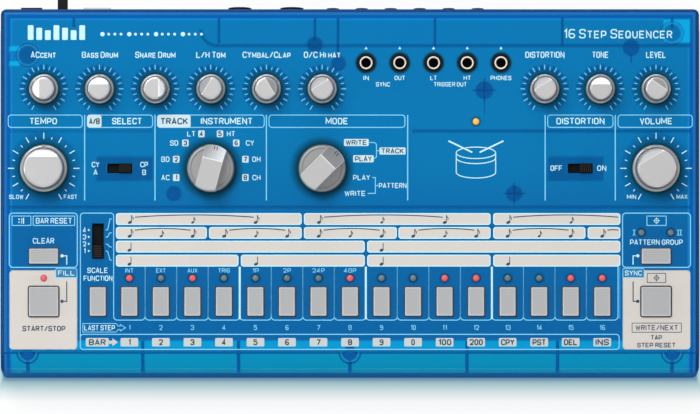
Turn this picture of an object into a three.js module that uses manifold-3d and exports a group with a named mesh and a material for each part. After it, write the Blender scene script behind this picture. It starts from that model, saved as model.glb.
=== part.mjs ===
// A table-top drum machine: a two-part moulded case with a sloping control panel, knobs, selectors,
// slide switches, spring buttons, indicator lights and sockets, and the two boards that carry them.
// Millimetres. +X is to the right, +Y to the rear and +Z up. The origin is on the table, in the
// middle of the outline.
import * as THREE from 'three';
import { mergeVertices } from 'three/addons/utils/BufferGeometryUtils.js';
import Module from 'manifold-3d';

// Case
const caseWidth = 305;
const caseDepth = 158.2;
const footHeight = 2.5;
const seamHeight = 15;
const rearHeight = 45;
const panelTiltDegrees = 5;
const bevelTiltDegrees = 31;
const wall = 2.5;
const planCorner = 4;
const leastCorner = 1;
const topFillet = 2.5;
const baseFillet = 2;
const lipThickness = 1.2;
const lipHeight = 2;
const lipRoot = 3;
const clearance = 0.3;
const leverReach = 6.8;

// Posts, bosses and ribs of the case
const postRadius = 3.7;
const pilotRadius = 1.3;
const pilotDepth = 9;
const tubeRadius = 4.2;
const headWellRadius = 3.2;
const headWellDepth = 6.5;
const screwBoreRadius = 1.7;
const bossRadius = 2.5;
const ribThickness = 1.3;
const ribDepth = 4;
const shortBossDrop = 5;
const leftPostSetback = 20.2;
const rightPostSetback = 10.7;

// Feet
const footRadius = 6;
const footTaper = 0.8;
const footSeatDepth = 0.5;

// Buttons and the push switches under them
const stepButtonWidth = 7.35;
const stepButtonDepth = 12.8;
const flatButtonWidth = 12.9;
const flatButtonDepth = 6.9;
const squareButtonWidth = 13.1;
const buttonRise = 1.8;
const buttonEdge = 0.5;
const buttonCorner = 0.7;
const buttonGap = 0.35;
const buttonTravel = 1;
const buttonFlangeThickness = 1.2;
const buttonFlangeReach = 0.8;
const buttonStemWidth = 3;
const buttonStemLength = 1.7;
const pushSwitchWidth = 6;
const pushSwitchHeight = 3.6;
const plungerWidth = 3;
const plungerHeight = 1.4;

// Rotary parts, knobs and selectors
const rotaryWidth = 9.5;
const rotaryHeight = 6.5;
const collarRadius = 3.2;
const collarHeight = 1.5;
const shaftRadius = 3;
const shaftGap = 0.5;
const knobLift = 0.6;
const knobHeight = 13.4;
const skirtHeight = 2.4;
const skirtChamfer = 0.8;
const grooveDepth = 1;
const knobTopEdge = 0.8;
const knobDraft = 0.2;
const smallSkirtRadius = 6.4;
const smallGrooveRadius = 5.5;
const smallCapRadius = 5.05;
const smallFacetChord = 1.8;
const bigSkirtRadius = 10.3;
const bigGrooveRadius = 9.1;
const bigCapRadius = 8.7;
const bigFacetChord = 5;
const facetTiltDegrees = 42;
const selectorRadius = 10.35;
const selectorDiscHeight = 4.2;
const selectorRim = 1;
const gripWidth = 9;
const gripDraft = 0.4;
const gripFacetChord = 3.7;
const gripFacetDegrees = 52;
const gripEndHeight = 9.6;
const gripEndReach = 8.4;

// Slide switches and their levers
const slotLength = 11;
const slotWidth = 4.3;
const leverLength = 5.7;
const scaleSlotLength = 15.4;
const scaleSlotWidth = 5.2;
const scaleSlotGap = 12.3;
const leverRise = 2;
const leverFlangeReach = 1.4;
const leverFlangeOverlap = 0.8;
const leverFlangeThickness = 1;
const slideBodyWidth = 7;
const slideBodyMargin = 2;
const slideBodyHeight = 5;

// Indicator lights
const lightRadius = 1.5;
const lightRise = 0.9;
const lightShoulder = 0.2;
const lightNose = 1.05;
const stepLightGap = 3.8;
const runnerWidth = 2.4;
const runnerThickness = 1.5;
const runnerDrop = 5;

// Panel jacks
const jackRadius = 4.15;
const jackRingRadius = 2.8;
const jackRingRise = 0.9;
const jackBoreRadius = 1.9;
const jackBoreDepth = 9;

// Boards
const boardThickness = 1.6;
const boardMargin = 3;
const rearBoardLift = 0.9;
const rearBoardDepth = 11.9;
const boardPostRadius = 2.5;

// Rear sockets and the power switch
const rearNose = 2.1;
const outputNose = 2.6;
const outputJackRadius = 2.7;
const outputJackHeight = 7;
const outputJackSide = 5;
const outputBoreDepth = 9;
const roundSlotDepth = 6;
const roundCoreReach = 2.1;
const roundSocketGap = 5.4;
const outputFirstGap = 4.2;
const outputPitch = 12.7;
const dataSocketWidth = 12;
const dataSocketHeight = 10.8;
const dataShell = 1.2;
const dataSocketDepth = 9;
const dataTongueWidth = 5.6;
const dataTongueHeight = 3.2;
const inletWidth = 9.2;
const inletHeight = 11;
const inletBoreRadius = 3.2;
const inletBoreDepth = 8.5;
const inletPinRadius = 1;
const powerLeverWidth = 4.4;
const powerLeverHeight = 3.2;
const powerLeverTravel = 3;
const powerFlangeReach = 0.8;
const powerFlangeThickness = 1;
const powerSwitchWidth = 11;
const powerSwitchHeight = 7;

// Ribbon cable
const ribbonWidth = 20;
const ribbonThickness = 1;
const plugDepth = 3;
const plugHeight = 3;

// How far a cut runs past the face that it opens
const overrun = 1;

// Places on the panel: across as shares of half the case's width, up as shares of half its depth
const outerColumnShare = 0.876;
const columnPitchShare = 0.1593;
const leftKnobCount = 6;
const rightKnobCount = 3;
const knobRowShare = 0.5604;
const bigKnobRowShare = 0.1217;
const switchColumnShare = 0.6587;
const stepFirstShare = -0.6308;
const stepPitchShare = 0.09018;
const stepCount = 16;
const stepRowShare = -0.6131;
const flatButtonRowShare = -0.3627;
const patternLightRowShare = -0.2324;
const patternLightSpreadShare = 0.042;
const statusLightShares = [0.3607, 0.3802];
const jackMiddleShare = 0.2393;
const jackPitchShare = 0.0965;
const jackRowShare = 0.7042;
const creaseShare = -0.8913;

// Screw posts, board bosses and ribs, in the same shares
const outerPostShare = 0.922;
const postShares = [
  [-0.922, -0.8976], [0, -0.8976], [0.922, -0.8976], [-0.5036, -0.0177], [0.47, -0.0177],
];
const bossShares = [
  [-0.032, 0.7004], [0.385, 0.5524], [-0.787, -0.7637], [0, -0.7637], [0.787, -0.7637],
];
const shortBossShares = [[-0.1, 0.8056], [0.8046, 0.7876]];
const frontRibShares = [-0.921, -0.593, -0.319, 0, 0.335, 0.594, 0.921];
const rearRibShares = [
  [-0.79, 0.065], [-0.375, 0.081], [-0.1, 0.146], [-0.032, 0.228], [0.243, 0.174], [0.608, 0.174],
  [0.921, 0.092],
];
const footShares = [0.84, 0.78];

// Places along the rear wall
const inletShare = -0.914;
const powerLeverShare = -0.8258;
const roundInShare = -0.316;
const outputCount = 6;
// The round sockets' body in the room between the rear board and the top plate, and its own parts
const roundBodyShare = 0.824;
const roundCollarShare = 0.46;
const roundSlotShare = 0.391;
const roundCoreShare = 0.293;
const boardPostShares = [-0.62, 0.06, 0.36];
const ribbonShare = -0.525;
const boardFrontShare = -0.8142;
const boardRearShare = 0.7661;

// Turns of the knobs at rest, clockwise from straight to the rear
const knobTurns = {
  knob_accent: -90, knob_bass: 0, knob_snare: 90, knob_tom: -60, knob_cymbal: 60, knob_hihat: -30,
  knob_distortion: -30, knob_tone: 0, knob_level: 35,
};
const volumeTurn = -30;
const instrumentTurn = 15;
const modeTurn = 45;

// Sides of round pieces and steps of rounded edges
const knobSides = 16;
const bigKnobSides = 24;
const jackSides = 16;
const postSides = 10;
const holeSides = 12;
const lightSides = 8;
const cornerSteps = 3;
const filletSteps = 3;
const ribbonSteps = 8;

const wasm = await Module();
wasm.setup();

// Derived places of the case
const tilt = THREE.MathUtils.degToRad(panelTiltDegrees);
const bevelTilt = THREE.MathUtils.degToRad(bevelTiltDegrees);
const halfWidth = caseWidth / 2;
const halfDepth = caseDepth / 2;
const caseY = -leverReach / 2;
const rearY = caseY + halfDepth;
const frontY = caseY - halfDepth;
const creaseY = caseY + halfDepth * creaseShare * Math.cos(tilt);
const creaseZ = rearHeight - (rearY - creaseY) * Math.tan(tilt);
const coverBase = seamHeight + clearance;
const floorTop = footHeight + wall;
const mateHeight = seamHeight + clearance;

// Derived levels under the panel, measured down from its surface
const flangeTop = -wall - clearance;
const flangeBase = flangeTop - buttonFlangeThickness;
const stemBase = flangeBase - buttonStemLength;
const plungerTop = stemBase - buttonTravel - clearance;
const boardTop = plungerTop - plungerHeight - pushSwitchHeight;
const boardBase = boardTop - boardThickness;
const shaftBase = boardTop + rotaryHeight + collarHeight + clearance;
const leverBase = boardTop + slideBodyHeight + clearance;

// Derived places at the rear wall
const wallInside = rearY - wall;
const rearBoardBase = seamHeight + lipHeight + rearBoardLift;
const rearBoardTop = rearBoardBase + boardThickness;
const rearBoardY = wallInside - clearance * 2 - rearBoardDepth;
const socketBase = rearBoardTop + clearance;
const socketFront = rearBoardY + clearance;
const socketRear = wallInside - clearance;
const socketRoom = rearHeight - (rearY - socketFront) * Math.tan(tilt) - wall - clearance - socketBase;
const roundSocketBodyWidth = socketRoom * roundBodyShare;
const roundSocketRadius = roundSocketBodyWidth * roundCollarShare;
const roundSlotRadius = roundSocketBodyWidth * roundSlotShare;
const roundCoreRadius = roundSocketBodyWidth * roundCoreShare;

// Height of the case's top surface over a place from front to rear
function topAt(y) {
  if (y >= creaseY) {
    return rearHeight - (rearY - y) * Math.tan(tilt);
  }
  return creaseZ - (creaseY - y) * Math.tan(bevelTilt);
}

const panelFrame = new THREE.Matrix4().makeRotationX(tilt).setPosition(0, caseY, topAt(caseY));
const across = (share) => share * halfWidth;
const up = (share) => share * halfDepth;
const overPanel = (v) => caseY + v * Math.cos(tilt);
const postPlaces = [
  ...postShares.map(([share, rowShare]) => [across(share), overPanel(up(rowShare))]),
  [-across(outerPostShare), rearY - leftPostSetback],
  [across(outerPostShare), rearY - rightPostSetback],
];

// Turns a closed geometry into a solid that can be joined and cut
function solidOf(geometry) {
  const plain = geometry.clone();
  plain.deleteAttribute('normal');
  plain.deleteAttribute('uv');
  const merged = mergeVertices(plain);
  const corners = [];
  for (let i = 0; i < merged.index.count; i += 3) {
    const [a, b, c] = merged.index.array.slice(i, i + 3);
    if (a !== b && b !== c && c !== a) {
      corners.push(a, b, c);
    }
  }
  return new wasm.Manifold(new wasm.Mesh({
    numProp: 3,
    vertProperties: new Float32Array(merged.attributes.position.array),
    triVerts: new Uint32Array(corners),
  }));
}

const joined = (geometries) => geometries.map(solidOf).reduce((whole, part) => whole.add(part));

// Turns a solid back into a geometry
function geometryOf(solid) {
  const mesh = solid.getMesh();
  const geometry = new THREE.BufferGeometry();
  geometry.setAttribute('position', new THREE.BufferAttribute(mesh.vertProperties, mesh.numProp));
  geometry.setIndex(new THREE.BufferAttribute(mesh.triVerts, 1));
  geometry.computeVertexNormals();
  return geometry;
}

// A box between two heights, centred on a place
function block(width, depth, low, high, x = 0, y = 0) {
  return new THREE.BoxGeometry(width, depth, high - low).translate(x, y, (low + high) / 2);
}

// An upright round bar between two heights
function bar(radius, low, high, x, y, sides = holeSides) {
  const geometry = new THREE.CylinderGeometry(radius, radius, high - low, sides);
  return geometry.rotateX(Math.PI / 2).translate(x, y, (low + high) / 2);
}

// A round bar that lies from front to rear
function rearBar(radius, front, rear, x, z, sides = holeSides) {
  const geometry = new THREE.CylinderGeometry(radius, radius, rear - front, sides);
  return geometry.translate(x, (front + rear) / 2, z);
}

// A turned piece about an upright axis, from its radius and height profile
function turned(profile, sides) {
  const points = profile.map(([radius, height]) => new THREE.Vector2(radius, height));
  return new THREE.LatheGeometry(points, sides).rotateX(Math.PI / 2);
}

// A flat outline of front-to-rear and height points, carried to the right
function alongX(outline, width, x) {
  const shape = new THREE.Shape(outline.map(([y, z]) => new THREE.Vector2(y, z)));
  const geometry = new THREE.ExtrudeGeometry(shape, { depth: width, bevelEnabled: false });
  const toRear = new THREE.Vector3(0, 1, 0);
  const upward = new THREE.Vector3(0, 0, 1);
  const toRight = new THREE.Vector3(1, 0, 0);
  geometry.applyMatrix4(new THREE.Matrix4().makeBasis(toRear, upward, toRight));
  return geometry.translate(x - width / 2, 0, 0);
}

// One level of a stacked form: a rounded rectangle seen from above, whose height may vary from
// front to rear, with a point on each side where the panel's crease crosses it when it has one
function ring({ width, depth, corner, z, middle = 0, crease = null, steps = cornerSteps }) {
  const heightAt = typeof z === 'function' ? z : () => z;
  const points = [];
  const place = (x, y) => points.push(new THREE.Vector3(x, y, heightAt(y)));
  const turns = [[-1, -1, 2], [1, -1, 3], [1, 1, 0], [-1, 1, 1]];
  turns.forEach(([sideX, sideY, quarter], index) => {
    const centreX = sideX * (width / 2 - corner);
    const centreY = middle + sideY * (depth / 2 - corner);
    for (let step = 0; step <= steps; step += 1) {
      const angle = (quarter + step / steps) * Math.PI / 2;
      place(centreX + corner * Math.cos(angle), centreY + corner * Math.sin(angle));
    }
    if (crease !== null && index % 2 === 1) {
      place(sideX * width / 2, crease);
    }
  });
  return points;
}

// A closed form from rings with equal counts. Its ends are fans from the last point of a ring, which
// on the case is on the crease, so that each half of the fan is flat.
function stacked(rings) {
  const count = rings[0].length;
  const corners = [];
  for (let level = 0; level + 1 < rings.length; level += 1) {
    for (let i = 0; i < count; i += 1) {
      const a = level * count + i;
      const b = level * count + (i + 1) % count;
      corners.push(a, b, b + count, a, b + count, a + count);
    }
  }
  const last = count - 1;
  const top = (rings.length - 1) * count;
  for (let i = 0; i + 1 < last; i += 1) {
    corners.push(last, i + 1, i);
    corners.push(top + last, top + i, top + i + 1);
  }
  const geometry = new THREE.BufferGeometry().setFromPoints(rings.flat());
  geometry.setIndex(corners);
  geometry.computeVertexNormals();
  return geometry;
}

// A ring of the case's own outline, moved in by an inset
function caseRing(inset, z) {
  return ring({
    width: caseWidth - inset * 2, depth: caseDepth - inset * 2, middle: caseY,
    corner: Math.max(planCorner - inset, leastCorner), crease: creaseY, z,
  });
}

// The case's top form, from a base up to a drop under the surface
const coverForm = (inset, base, drop) => stacked([
  caseRing(inset, base), caseRing(inset, (y) => topAt(y) - drop),
]);

// The rounded outer form of the top cover
function coverOutside() {
  const rings = [caseRing(0, coverBase)];
  for (let step = 0; step <= filletSteps; step += 1) {
    const angle = (step / filletSteps) * Math.PI / 2;
    const inset = topFillet * (1 - Math.cos(angle));
    const drop = topFillet * (1 - Math.sin(angle));
    rings.push(caseRing(inset, (y) => topAt(y) - drop));
  }
  return stacked(rings);
}

// The rounded outer form of the bottom cover
function trayOutside() {
  const rings = [];
  for (let step = 0; step <= filletSteps; step += 1) {
    const angle = (step / filletSteps) * Math.PI / 2;
    const inset = baseFillet * (1 - Math.sin(angle));
    rings.push(caseRing(inset, footHeight + baseFillet * (1 - Math.cos(angle))));
  }
  rings.push(caseRing(0, seamHeight));
  return stacked(rings);
}

// Places of the rows and columns on the panel
const outerColumn = across(outerColumnShare);
const columnPitch = across(columnPitchShare);
const knobNames = Object.keys(knobTurns);
const knobPlaces = knobNames.map((name, index) => {
  const fromLeft = index < leftKnobCount;
  const u = fromLeft
    ? -outerColumn + index * columnPitch
    : outerColumn - (leftKnobCount + rightKnobCount - 1 - index) * columnPitch;
  return [u, up(knobRowShare)];
});
const bigRow = up(bigKnobRowShare);
const tempoPlace = [-outerColumn, bigRow];
const volumePlace = [outerColumn, bigRow];
const instrumentPlace = [-outerColumn + columnPitch * (leftKnobCount / 2), bigRow];
const modePlace = [-outerColumn + columnPitch * (leftKnobCount - 1), bigRow];
const rotaryPlaces = [...knobPlaces, tempoPlace, volumePlace, instrumentPlace, modePlace];
const stepPlace = (index) => [across(stepFirstShare + stepPitchShare * index), up(stepRowShare)];
const functionPlace = stepPlace(-1);
const clearPlace = [-outerColumn, up(flatButtonRowShare)];
const startPlace = [-outerColumn, up(stepRowShare)];
const patternPlace = [outerColumn, up(flatButtonRowShare)];
const nextPlace = [outerColumn, up(stepRowShare)];
const selectSlot = [-across(switchColumnShare), bigRow];
const distortionSlot = [across(switchColumnShare), bigRow];
const scaleSlot = [
  functionPlace[0], functionPlace[1] + stepButtonDepth / 2 + scaleSlotGap + scaleSlotLength / 2,
];
const statusPlace = [across(statusLightShares[0]), up(statusLightShares[1])];
const lightRow = up(stepRowShare) + stepButtonDepth / 2 + stepLightGap;
const stepLightPlaces = [[-outerColumn, lightRow]];
for (let index = 0; index < stepCount; index += 1) {
  stepLightPlaces.push([stepPlace(index)[0], lightRow]);
}
const patternLightPlaces = [-1, 1].map((side) => (
  [outerColumn + side * across(patternLightSpreadShare), up(patternLightRowShare)]
));
const jackNames = ['sync_in_jack', 'sync_out_jack', 'low_tom_trigger_jack', 'high_tom_trigger_jack',
  'phones_jack'];
const jackPlace = (index) => [
  across(jackMiddleShare + jackPitchShare * (index - (jackNames.length - 1) / 2)), up(jackRowShare),
];

// The buttons, each with its name, place, width and depth
const buttons = [];
for (let index = 0; index < stepCount; index += 1) {
  const name = `step_button_${String(index + 1).padStart(2, '0')}`;
  buttons.push([name, stepPlace(index), stepButtonWidth, stepButtonDepth]);
}
buttons.push(['function_button', functionPlace, stepButtonWidth, stepButtonDepth]);
buttons.push(['clear_button', clearPlace, flatButtonWidth, flatButtonDepth]);
buttons.push(['pattern_group_button', patternPlace, flatButtonWidth, flatButtonDepth]);
buttons.push(['start_stop_button', startPlace, squareButtonWidth, squareButtonWidth]);
buttons.push(['write_next_button', nextPlace, squareButtonWidth, squareButtonWidth]);

const outputCentres = [];
const powerLeverX = across(powerLeverShare);
const powerFlangeWidth = powerLeverWidth + (powerLeverTravel + powerFlangeReach) * 2;
const powerFlangeEnd = powerLeverX + powerLeverTravel + powerFlangeWidth / 2;
const dataSocketX = powerFlangeEnd + clearance + dataSocketWidth / 2;
const roundInX = across(roundInShare);
const roundOutX = roundInX + roundSocketBodyWidth + roundSocketGap;
const outputFirstX = roundOutX + roundSocketBodyWidth / 2 + outputFirstGap + outputJackSide;
for (let index = 0; index < outputCount; index += 1) {
  outputCentres.push(outputFirstX + outputPitch * index);
}
const outputZ = socketBase + outputJackHeight / 2;
const roundZ = socketBase + roundSocketBodyWidth / 2;
const dataZ = socketBase + dataSocketHeight / 2;
const inletZ = socketBase + inletHeight / 2;
const powerZ = rearBoardTop + powerSwitchHeight / 2;
const noseEnd = rearY + rearNose;
const outputNoseEnd = rearY + outputNose;

// All the holes that open the panel, in the case's own frame
function panelHoles() {
  const low = -wall - overrun;
  const holes = [];
  rotaryPlaces.forEach(([u, v]) => holes.push(bar(shaftRadius + shaftGap, low, overrun, u, v)));
  buttons.forEach(([, [u, v], width, depth]) => {
    holes.push(block(width + buttonGap * 2, depth + buttonGap * 2, low, overrun, u, v));
  });
  [selectSlot, distortionSlot].forEach(([u, v]) => {
    holes.push(block(slotLength, slotWidth, low, overrun, u, v));
  });
  holes.push(block(scaleSlotWidth, scaleSlotLength, low, overrun, ...scaleSlot));
  [...stepLightPlaces, ...patternLightPlaces, statusPlace].forEach(([u, v]) => {
    holes.push(bar(lightRadius + clearance, low, overrun, u, v, lightSides));
  });
  jackNames.forEach((name, index) => {
    holes.push(bar(jackRadius + clearance, low, overrun, ...jackPlace(index), jackSides));
  });
  return holes.map((hole) => hole.applyMatrix4(panelFrame));
}

// The holes in the rear wall for the sockets and the power lever
function rearHoles() {
  const front = wallInside - overrun;
  const rear = rearY + overrun;
  const middle = (front + rear) / 2;
  const run = rear - front;
  const holes = outputCentres.map((x) => (
    rearBar(outputJackRadius + clearance, front, rear, x, outputZ)
  ));
  [roundInX, roundOutX].forEach((x) => {
    holes.push(rearBar(roundSocketRadius + clearance, front, rear, x, roundZ, jackSides));
  });
  const window = (width, height, x, z) => {
    const high = z + height / 2 + clearance;
    holes.push(block(width + clearance * 2, run, z - height / 2 - clearance, high, x, middle));
  };
  window(dataSocketWidth, dataSocketHeight, dataSocketX, dataZ);
  window(inletWidth, inletHeight, across(inletShare), inletZ);
  const slotMiddle = powerLeverX + powerLeverTravel / 2;
  window(powerLeverWidth + powerLeverTravel, powerLeverHeight, slotMiddle, powerZ);
  return holes;
}

// The moulded posts, bosses and ribs under the top plate
function coverInsides() {
  const pieces = [];
  postPlaces.forEach(([x, y]) => {
    pieces.push(bar(postRadius, mateHeight, topAt(y) + overrun, x, y, postSides));
  });
  const addBoss = ([share, rowShare], low) => {
    const boss = bar(bossRadius, low, 0, across(share), up(rowShare), lightSides);
    pieces.push(boss.applyMatrix4(panelFrame));
  };
  bossShares.forEach((shares) => addBoss(shares, boardTop + clearance));
  shortBossShares.forEach((shares) => addBoss(shares, -shortBossDrop));
  const inside = wall / 2;
  frontRibShares.forEach((share) => {
    const outline = [
      [frontY + inside, topAt(frontY + inside) - ribDepth - wall], [creaseY, creaseZ - wall - inside],
      [creaseY, creaseZ - inside], [frontY + inside, topAt(frontY + inside) - inside],
    ];
    pieces.push(alongX(outline, ribThickness, across(share)));
  });
  rearRibShares.forEach(([share, lengthShare]) => {
    const start = rearY - inside - wall - up(lengthShare);
    const end = rearY - inside;
    const outline = [
      [start, topAt(start) - wall - inside], [end, topAt(end) - wall - ribDepth],
      [end, topAt(end) - inside], [start, topAt(start) - inside],
    ];
    pieces.push(alongX(outline, ribThickness, across(share)));
  });
  return pieces;
}

function topCoverGeometry() {
  const core = solidOf(coverForm(wall / 2, coverBase, wall / 2));
  let cover = solidOf(coverOutside());
  cover = cover.subtract(solidOf(coverForm(wall, coverBase - overrun, wall)));
  cover = cover.add(joined(coverInsides()).intersect(core));
  const pilots = postPlaces.map(([x, y]) => (
    bar(pilotRadius, mateHeight - overrun, mateHeight + pilotDepth, x, y, lightSides)
  ));
  return geometryOf(cover.subtract(joined([...panelHoles(), ...rearHoles(), ...pilots])));
}

const footPlaces = [];
[['front', -1], ['rear', 1]].forEach(([row, sideY]) => {
  [['left', -1], ['right', 1]].forEach(([column, sideX]) => {
    const [shareX, shareY] = footShares;
    footPlaces.push([`foot_${row}_${column}`, sideX * across(shareX), caseY + sideY * up(shareY)]);
  });
});

function bottomCoverGeometry() {
  const lipOutset = wall + clearance;
  const lipInset = lipOutset + lipThickness;
  let tray = solidOf(trayOutside());
  tray = tray.subtract(solidOf(stacked([
    caseRing(wall, floorTop), caseRing(wall, seamHeight + overrun),
  ])));
  const root = solidOf(stacked([
    caseRing(wall / 2, seamHeight - lipRoot), caseRing(wall / 2, seamHeight),
  ]));
  const lip = solidOf(stacked([
    caseRing(lipOutset, seamHeight - lipRoot), caseRing(lipOutset, seamHeight + lipHeight),
  ]));
  const inner = solidOf(stacked([
    caseRing(lipInset, seamHeight - lipRoot - overrun),
    caseRing(lipInset, seamHeight + lipHeight + overrun),
  ]));
  tray = tray.add(root.add(lip).subtract(inner));
  const inFloor = footHeight + wall / 2;
  const uprights = [];
  const bores = [];
  postPlaces.forEach(([x, y]) => {
    const well = footHeight + headWellDepth;
    uprights.push(bar(tubeRadius, inFloor, mateHeight - clearance, x, y, postSides));
    bores.push(bar(headWellRadius, footHeight - overrun, well, x, y, postSides));
    bores.push(bar(screwBoreRadius, well - overrun, mateHeight + overrun, x, y, lightSides));
  });
  boardPostShares.forEach((share) => {
    const y = rearBoardY + rearBoardDepth / 2;
    const top = rearBoardBase - clearance;
    uprights.push(bar(boardPostRadius, inFloor, top, across(share), y, lightSides));
  });
  footPlaces.forEach(([, x, y]) => {
    const seat = footHeight + footSeatDepth;
    bores.push(bar(footRadius + clearance, footHeight - overrun, seat, x, y));
  });
  return geometryOf(tray.add(joined(uprights)).subtract(joined(bores)));
}

function footGeometry() {
  return turned([
    [0, 0], [footRadius - footTaper, 0], [footRadius, footTaper],
    [footRadius, footHeight + footSeatDepth - clearance],
    [0, footHeight + footSeatDepth - clearance],
  ], holeSides);
}

// The control board with its rotary parts, push switches and slide switch bodies
function controlBoardGeometry() {
  const width = caseWidth - (wall + boardMargin) * 2;
  const front = up(boardFrontShare);
  const rear = up(boardRearShare);
  const inBoard = boardTop - boardThickness / 2;
  const parts = [block(width, rear - front, boardBase, boardTop, 0, (front + rear) / 2)];
  rotaryPlaces.forEach(([u, v]) => {
    const bodyTop = boardTop + rotaryHeight;
    parts.push(block(rotaryWidth, rotaryWidth, inBoard, bodyTop, u, v));
    parts.push(bar(collarRadius, inBoard, bodyTop + collarHeight, u, v, lightSides));
  });
  buttons.forEach(([, [u, v]]) => {
    const caseTop = boardTop + pushSwitchHeight;
    parts.push(block(pushSwitchWidth, pushSwitchWidth, inBoard, caseTop, u, v));
    parts.push(block(plungerWidth, plungerWidth, inBoard, caseTop + plungerHeight, u, v));
  });
  const slideLength = slotLength + slideBodyMargin * 2;
  [selectSlot, distortionSlot].forEach(([u, v]) => {
    parts.push(block(slideLength, slideBodyWidth, inBoard, boardTop + slideBodyHeight, u, v));
  });
  const scaleLength = scaleSlotLength + slideBodyMargin * 2;
  parts.push(block(slideBodyWidth, scaleLength, inBoard, boardTop + slideBodyHeight, ...scaleSlot));
  const toPanel = panelFrame.clone().invert();
  const passes = postPlaces.map(([x, y]) => (
    bar(tubeRadius + clearance, 0, rearHeight, x, y, postSides).applyMatrix4(toPanel)
  ));
  return geometryOf(joined(parts).subtract(joined(passes)));
}

function rearBoardGeometry() {
  const left = -halfWidth + wall + boardMargin;
  const right = outputCentres[outputCount - 1] + outputJackSide + boardMargin;
  const middle = rearBoardY + rearBoardDepth / 2;
  const board = block(
    right - left, rearBoardDepth, rearBoardBase, rearBoardTop, (left + right) / 2, middle,
  );
  const switchRear = wallInside - clearance - powerFlangeThickness - clearance;
  const switchDepth = switchRear - socketFront;
  const body = block(
    powerSwitchWidth, switchDepth, rearBoardTop - boardThickness / 2,
    rearBoardTop + powerSwitchHeight, powerLeverX + powerLeverTravel / 2,
    socketFront + switchDepth / 2,
  );
  return geometryOf(joined([board, body]));
}

// A flat cable from a plug on the rear board to a plug under the control board
function ribbonGeometry() {
  const boardUnder = (y) => topAt(y) + boardBase / Math.cos(tilt);
  const lowPlugY = rearBoardY + plugDepth / 2 + clearance;
  const highPlugY = rearBoardY - rearBoardDepth;
  const lowPlugTop = socketBase + plugHeight;
  const highPlugTop = boardUnder(highPlugY - plugDepth / 2) - clearance;
  const highPlugBase = highPlugTop - plugHeight;
  const bow = rearBoardDepth / 2;
  const curve = new THREE.CubicBezierCurve(
    new THREE.Vector2(lowPlugY, lowPlugTop - ribbonThickness),
    new THREE.Vector2(lowPlugY, lowPlugTop + bow / 2),
    new THREE.Vector2(highPlugY, highPlugBase - bow),
    new THREE.Vector2(highPlugY, highPlugBase + ribbonThickness),
  );
  const front = [];
  const rear = [];
  for (let step = 0; step <= ribbonSteps; step += 1) {
    const point = curve.getPoint(step / ribbonSteps);
    const along = curve.getTangent(step / ribbonSteps);
    const half = ribbonThickness / 2;
    front.push([point.x - along.y * half, point.y + along.x * half]);
    rear.unshift([point.x + along.y * half, point.y - along.x * half]);
  }
  const x = across(ribbonShare);
  return geometryOf(joined([
    alongX([...front, ...rear], ribbonWidth, x),
    block(ribbonWidth, plugDepth, socketBase, lowPlugTop, x, lowPlugY),
    block(ribbonWidth, plugDepth, highPlugBase, highPlugTop, x, highPlugY),
  ]));
}

// A button: stem, flange under the panel and a cap with a chamfered top edge
function buttonGeometry(width, depth) {
  const holeReach = buttonGap + buttonFlangeReach;
  const level = (w, d, z, inset = 0) => ring({
    width: w - inset * 2, depth: d - inset * 2, corner: buttonCorner, z, steps: 1,
  });
  const flange = [width + holeReach * 2, depth + holeReach * 2];
  const stem = [buttonStemWidth, buttonStemWidth];
  return stacked([
    level(...stem, stemBase), level(...stem, flangeBase), level(...flange, flangeBase),
    level(...flange, flangeTop), level(width, depth, flangeTop),
    level(width, depth, buttonRise - buttonEdge), level(width, depth, buttonRise, buttonEdge),
  ]);
}

// A wedge-shaped cut that slopes a knob's top down towards its pointer
function facetCut(chord, degrees, size) {
  const cut = new THREE.BoxGeometry(size * 2, size * 2, size * 2).translate(0, size, size);
  return cut.rotateX(-THREE.MathUtils.degToRad(degrees)).translate(0, chord, knobHeight);
}

// A knob with a chamfered skirt, a groove, a cap with a sloped facet, and its shaft
function knobGeometry(skirtRadius, grooveRadius, capRadius, facetChord, sides) {
  const grooveBase = skirtHeight - grooveDepth;
  const body = turned([
    [0, shaftBase], [shaftRadius, shaftBase], [shaftRadius, knobLift], [skirtRadius, knobLift],
    [skirtRadius, skirtHeight - skirtChamfer], [skirtRadius - skirtChamfer, skirtHeight],
    [grooveRadius, grooveBase], [capRadius, grooveBase],
    [capRadius - knobDraft, knobHeight - knobTopEdge],
    [capRadius - knobDraft - knobTopEdge, knobHeight], [0, knobHeight],
  ], sides);
  const cut = facetCut(facetChord, facetTiltDegrees, skirtRadius * 2);
  return geometryOf(solidOf(body).subtract(solidOf(cut)));
}

// A selector: a disc with a bar grip across it and a long facet towards the pointer
function selectorGeometry() {
  const disc = turned([
    [0, shaftBase], [shaftRadius, shaftBase], [shaftRadius, knobLift], [selectorRadius, knobLift],
    [selectorRadius, selectorDiscHeight - selectorRim],
    [selectorRadius - selectorRim, selectorDiscHeight], [0, selectorDiscHeight],
  ], bigKnobSides);
  const envelope = turned([
    [0, knobLift], [selectorRadius, knobLift], [selectorRadius - gripDraft, gripEndHeight],
    [gripEndReach, knobHeight], [0, knobHeight],
  ], bigKnobSides);
  const foot = gripWidth + gripDraft * 2;
  const length = selectorRadius * 2 + overrun;
  const grip = stacked([
    ring({ width: foot, depth: length, corner: buttonCorner, z: skirtHeight, steps: 1 }),
    ring({ width: gripWidth, depth: length, corner: buttonCorner, z: knobHeight + overrun, steps: 1 }),
  ]);
  const cut = solidOf(facetCut(gripFacetChord, gripFacetDegrees, selectorRadius * 2));
  const handle = solidOf(grip).intersect(solidOf(envelope)).subtract(cut);
  return geometryOf(solidOf(disc).add(handle));
}

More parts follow.
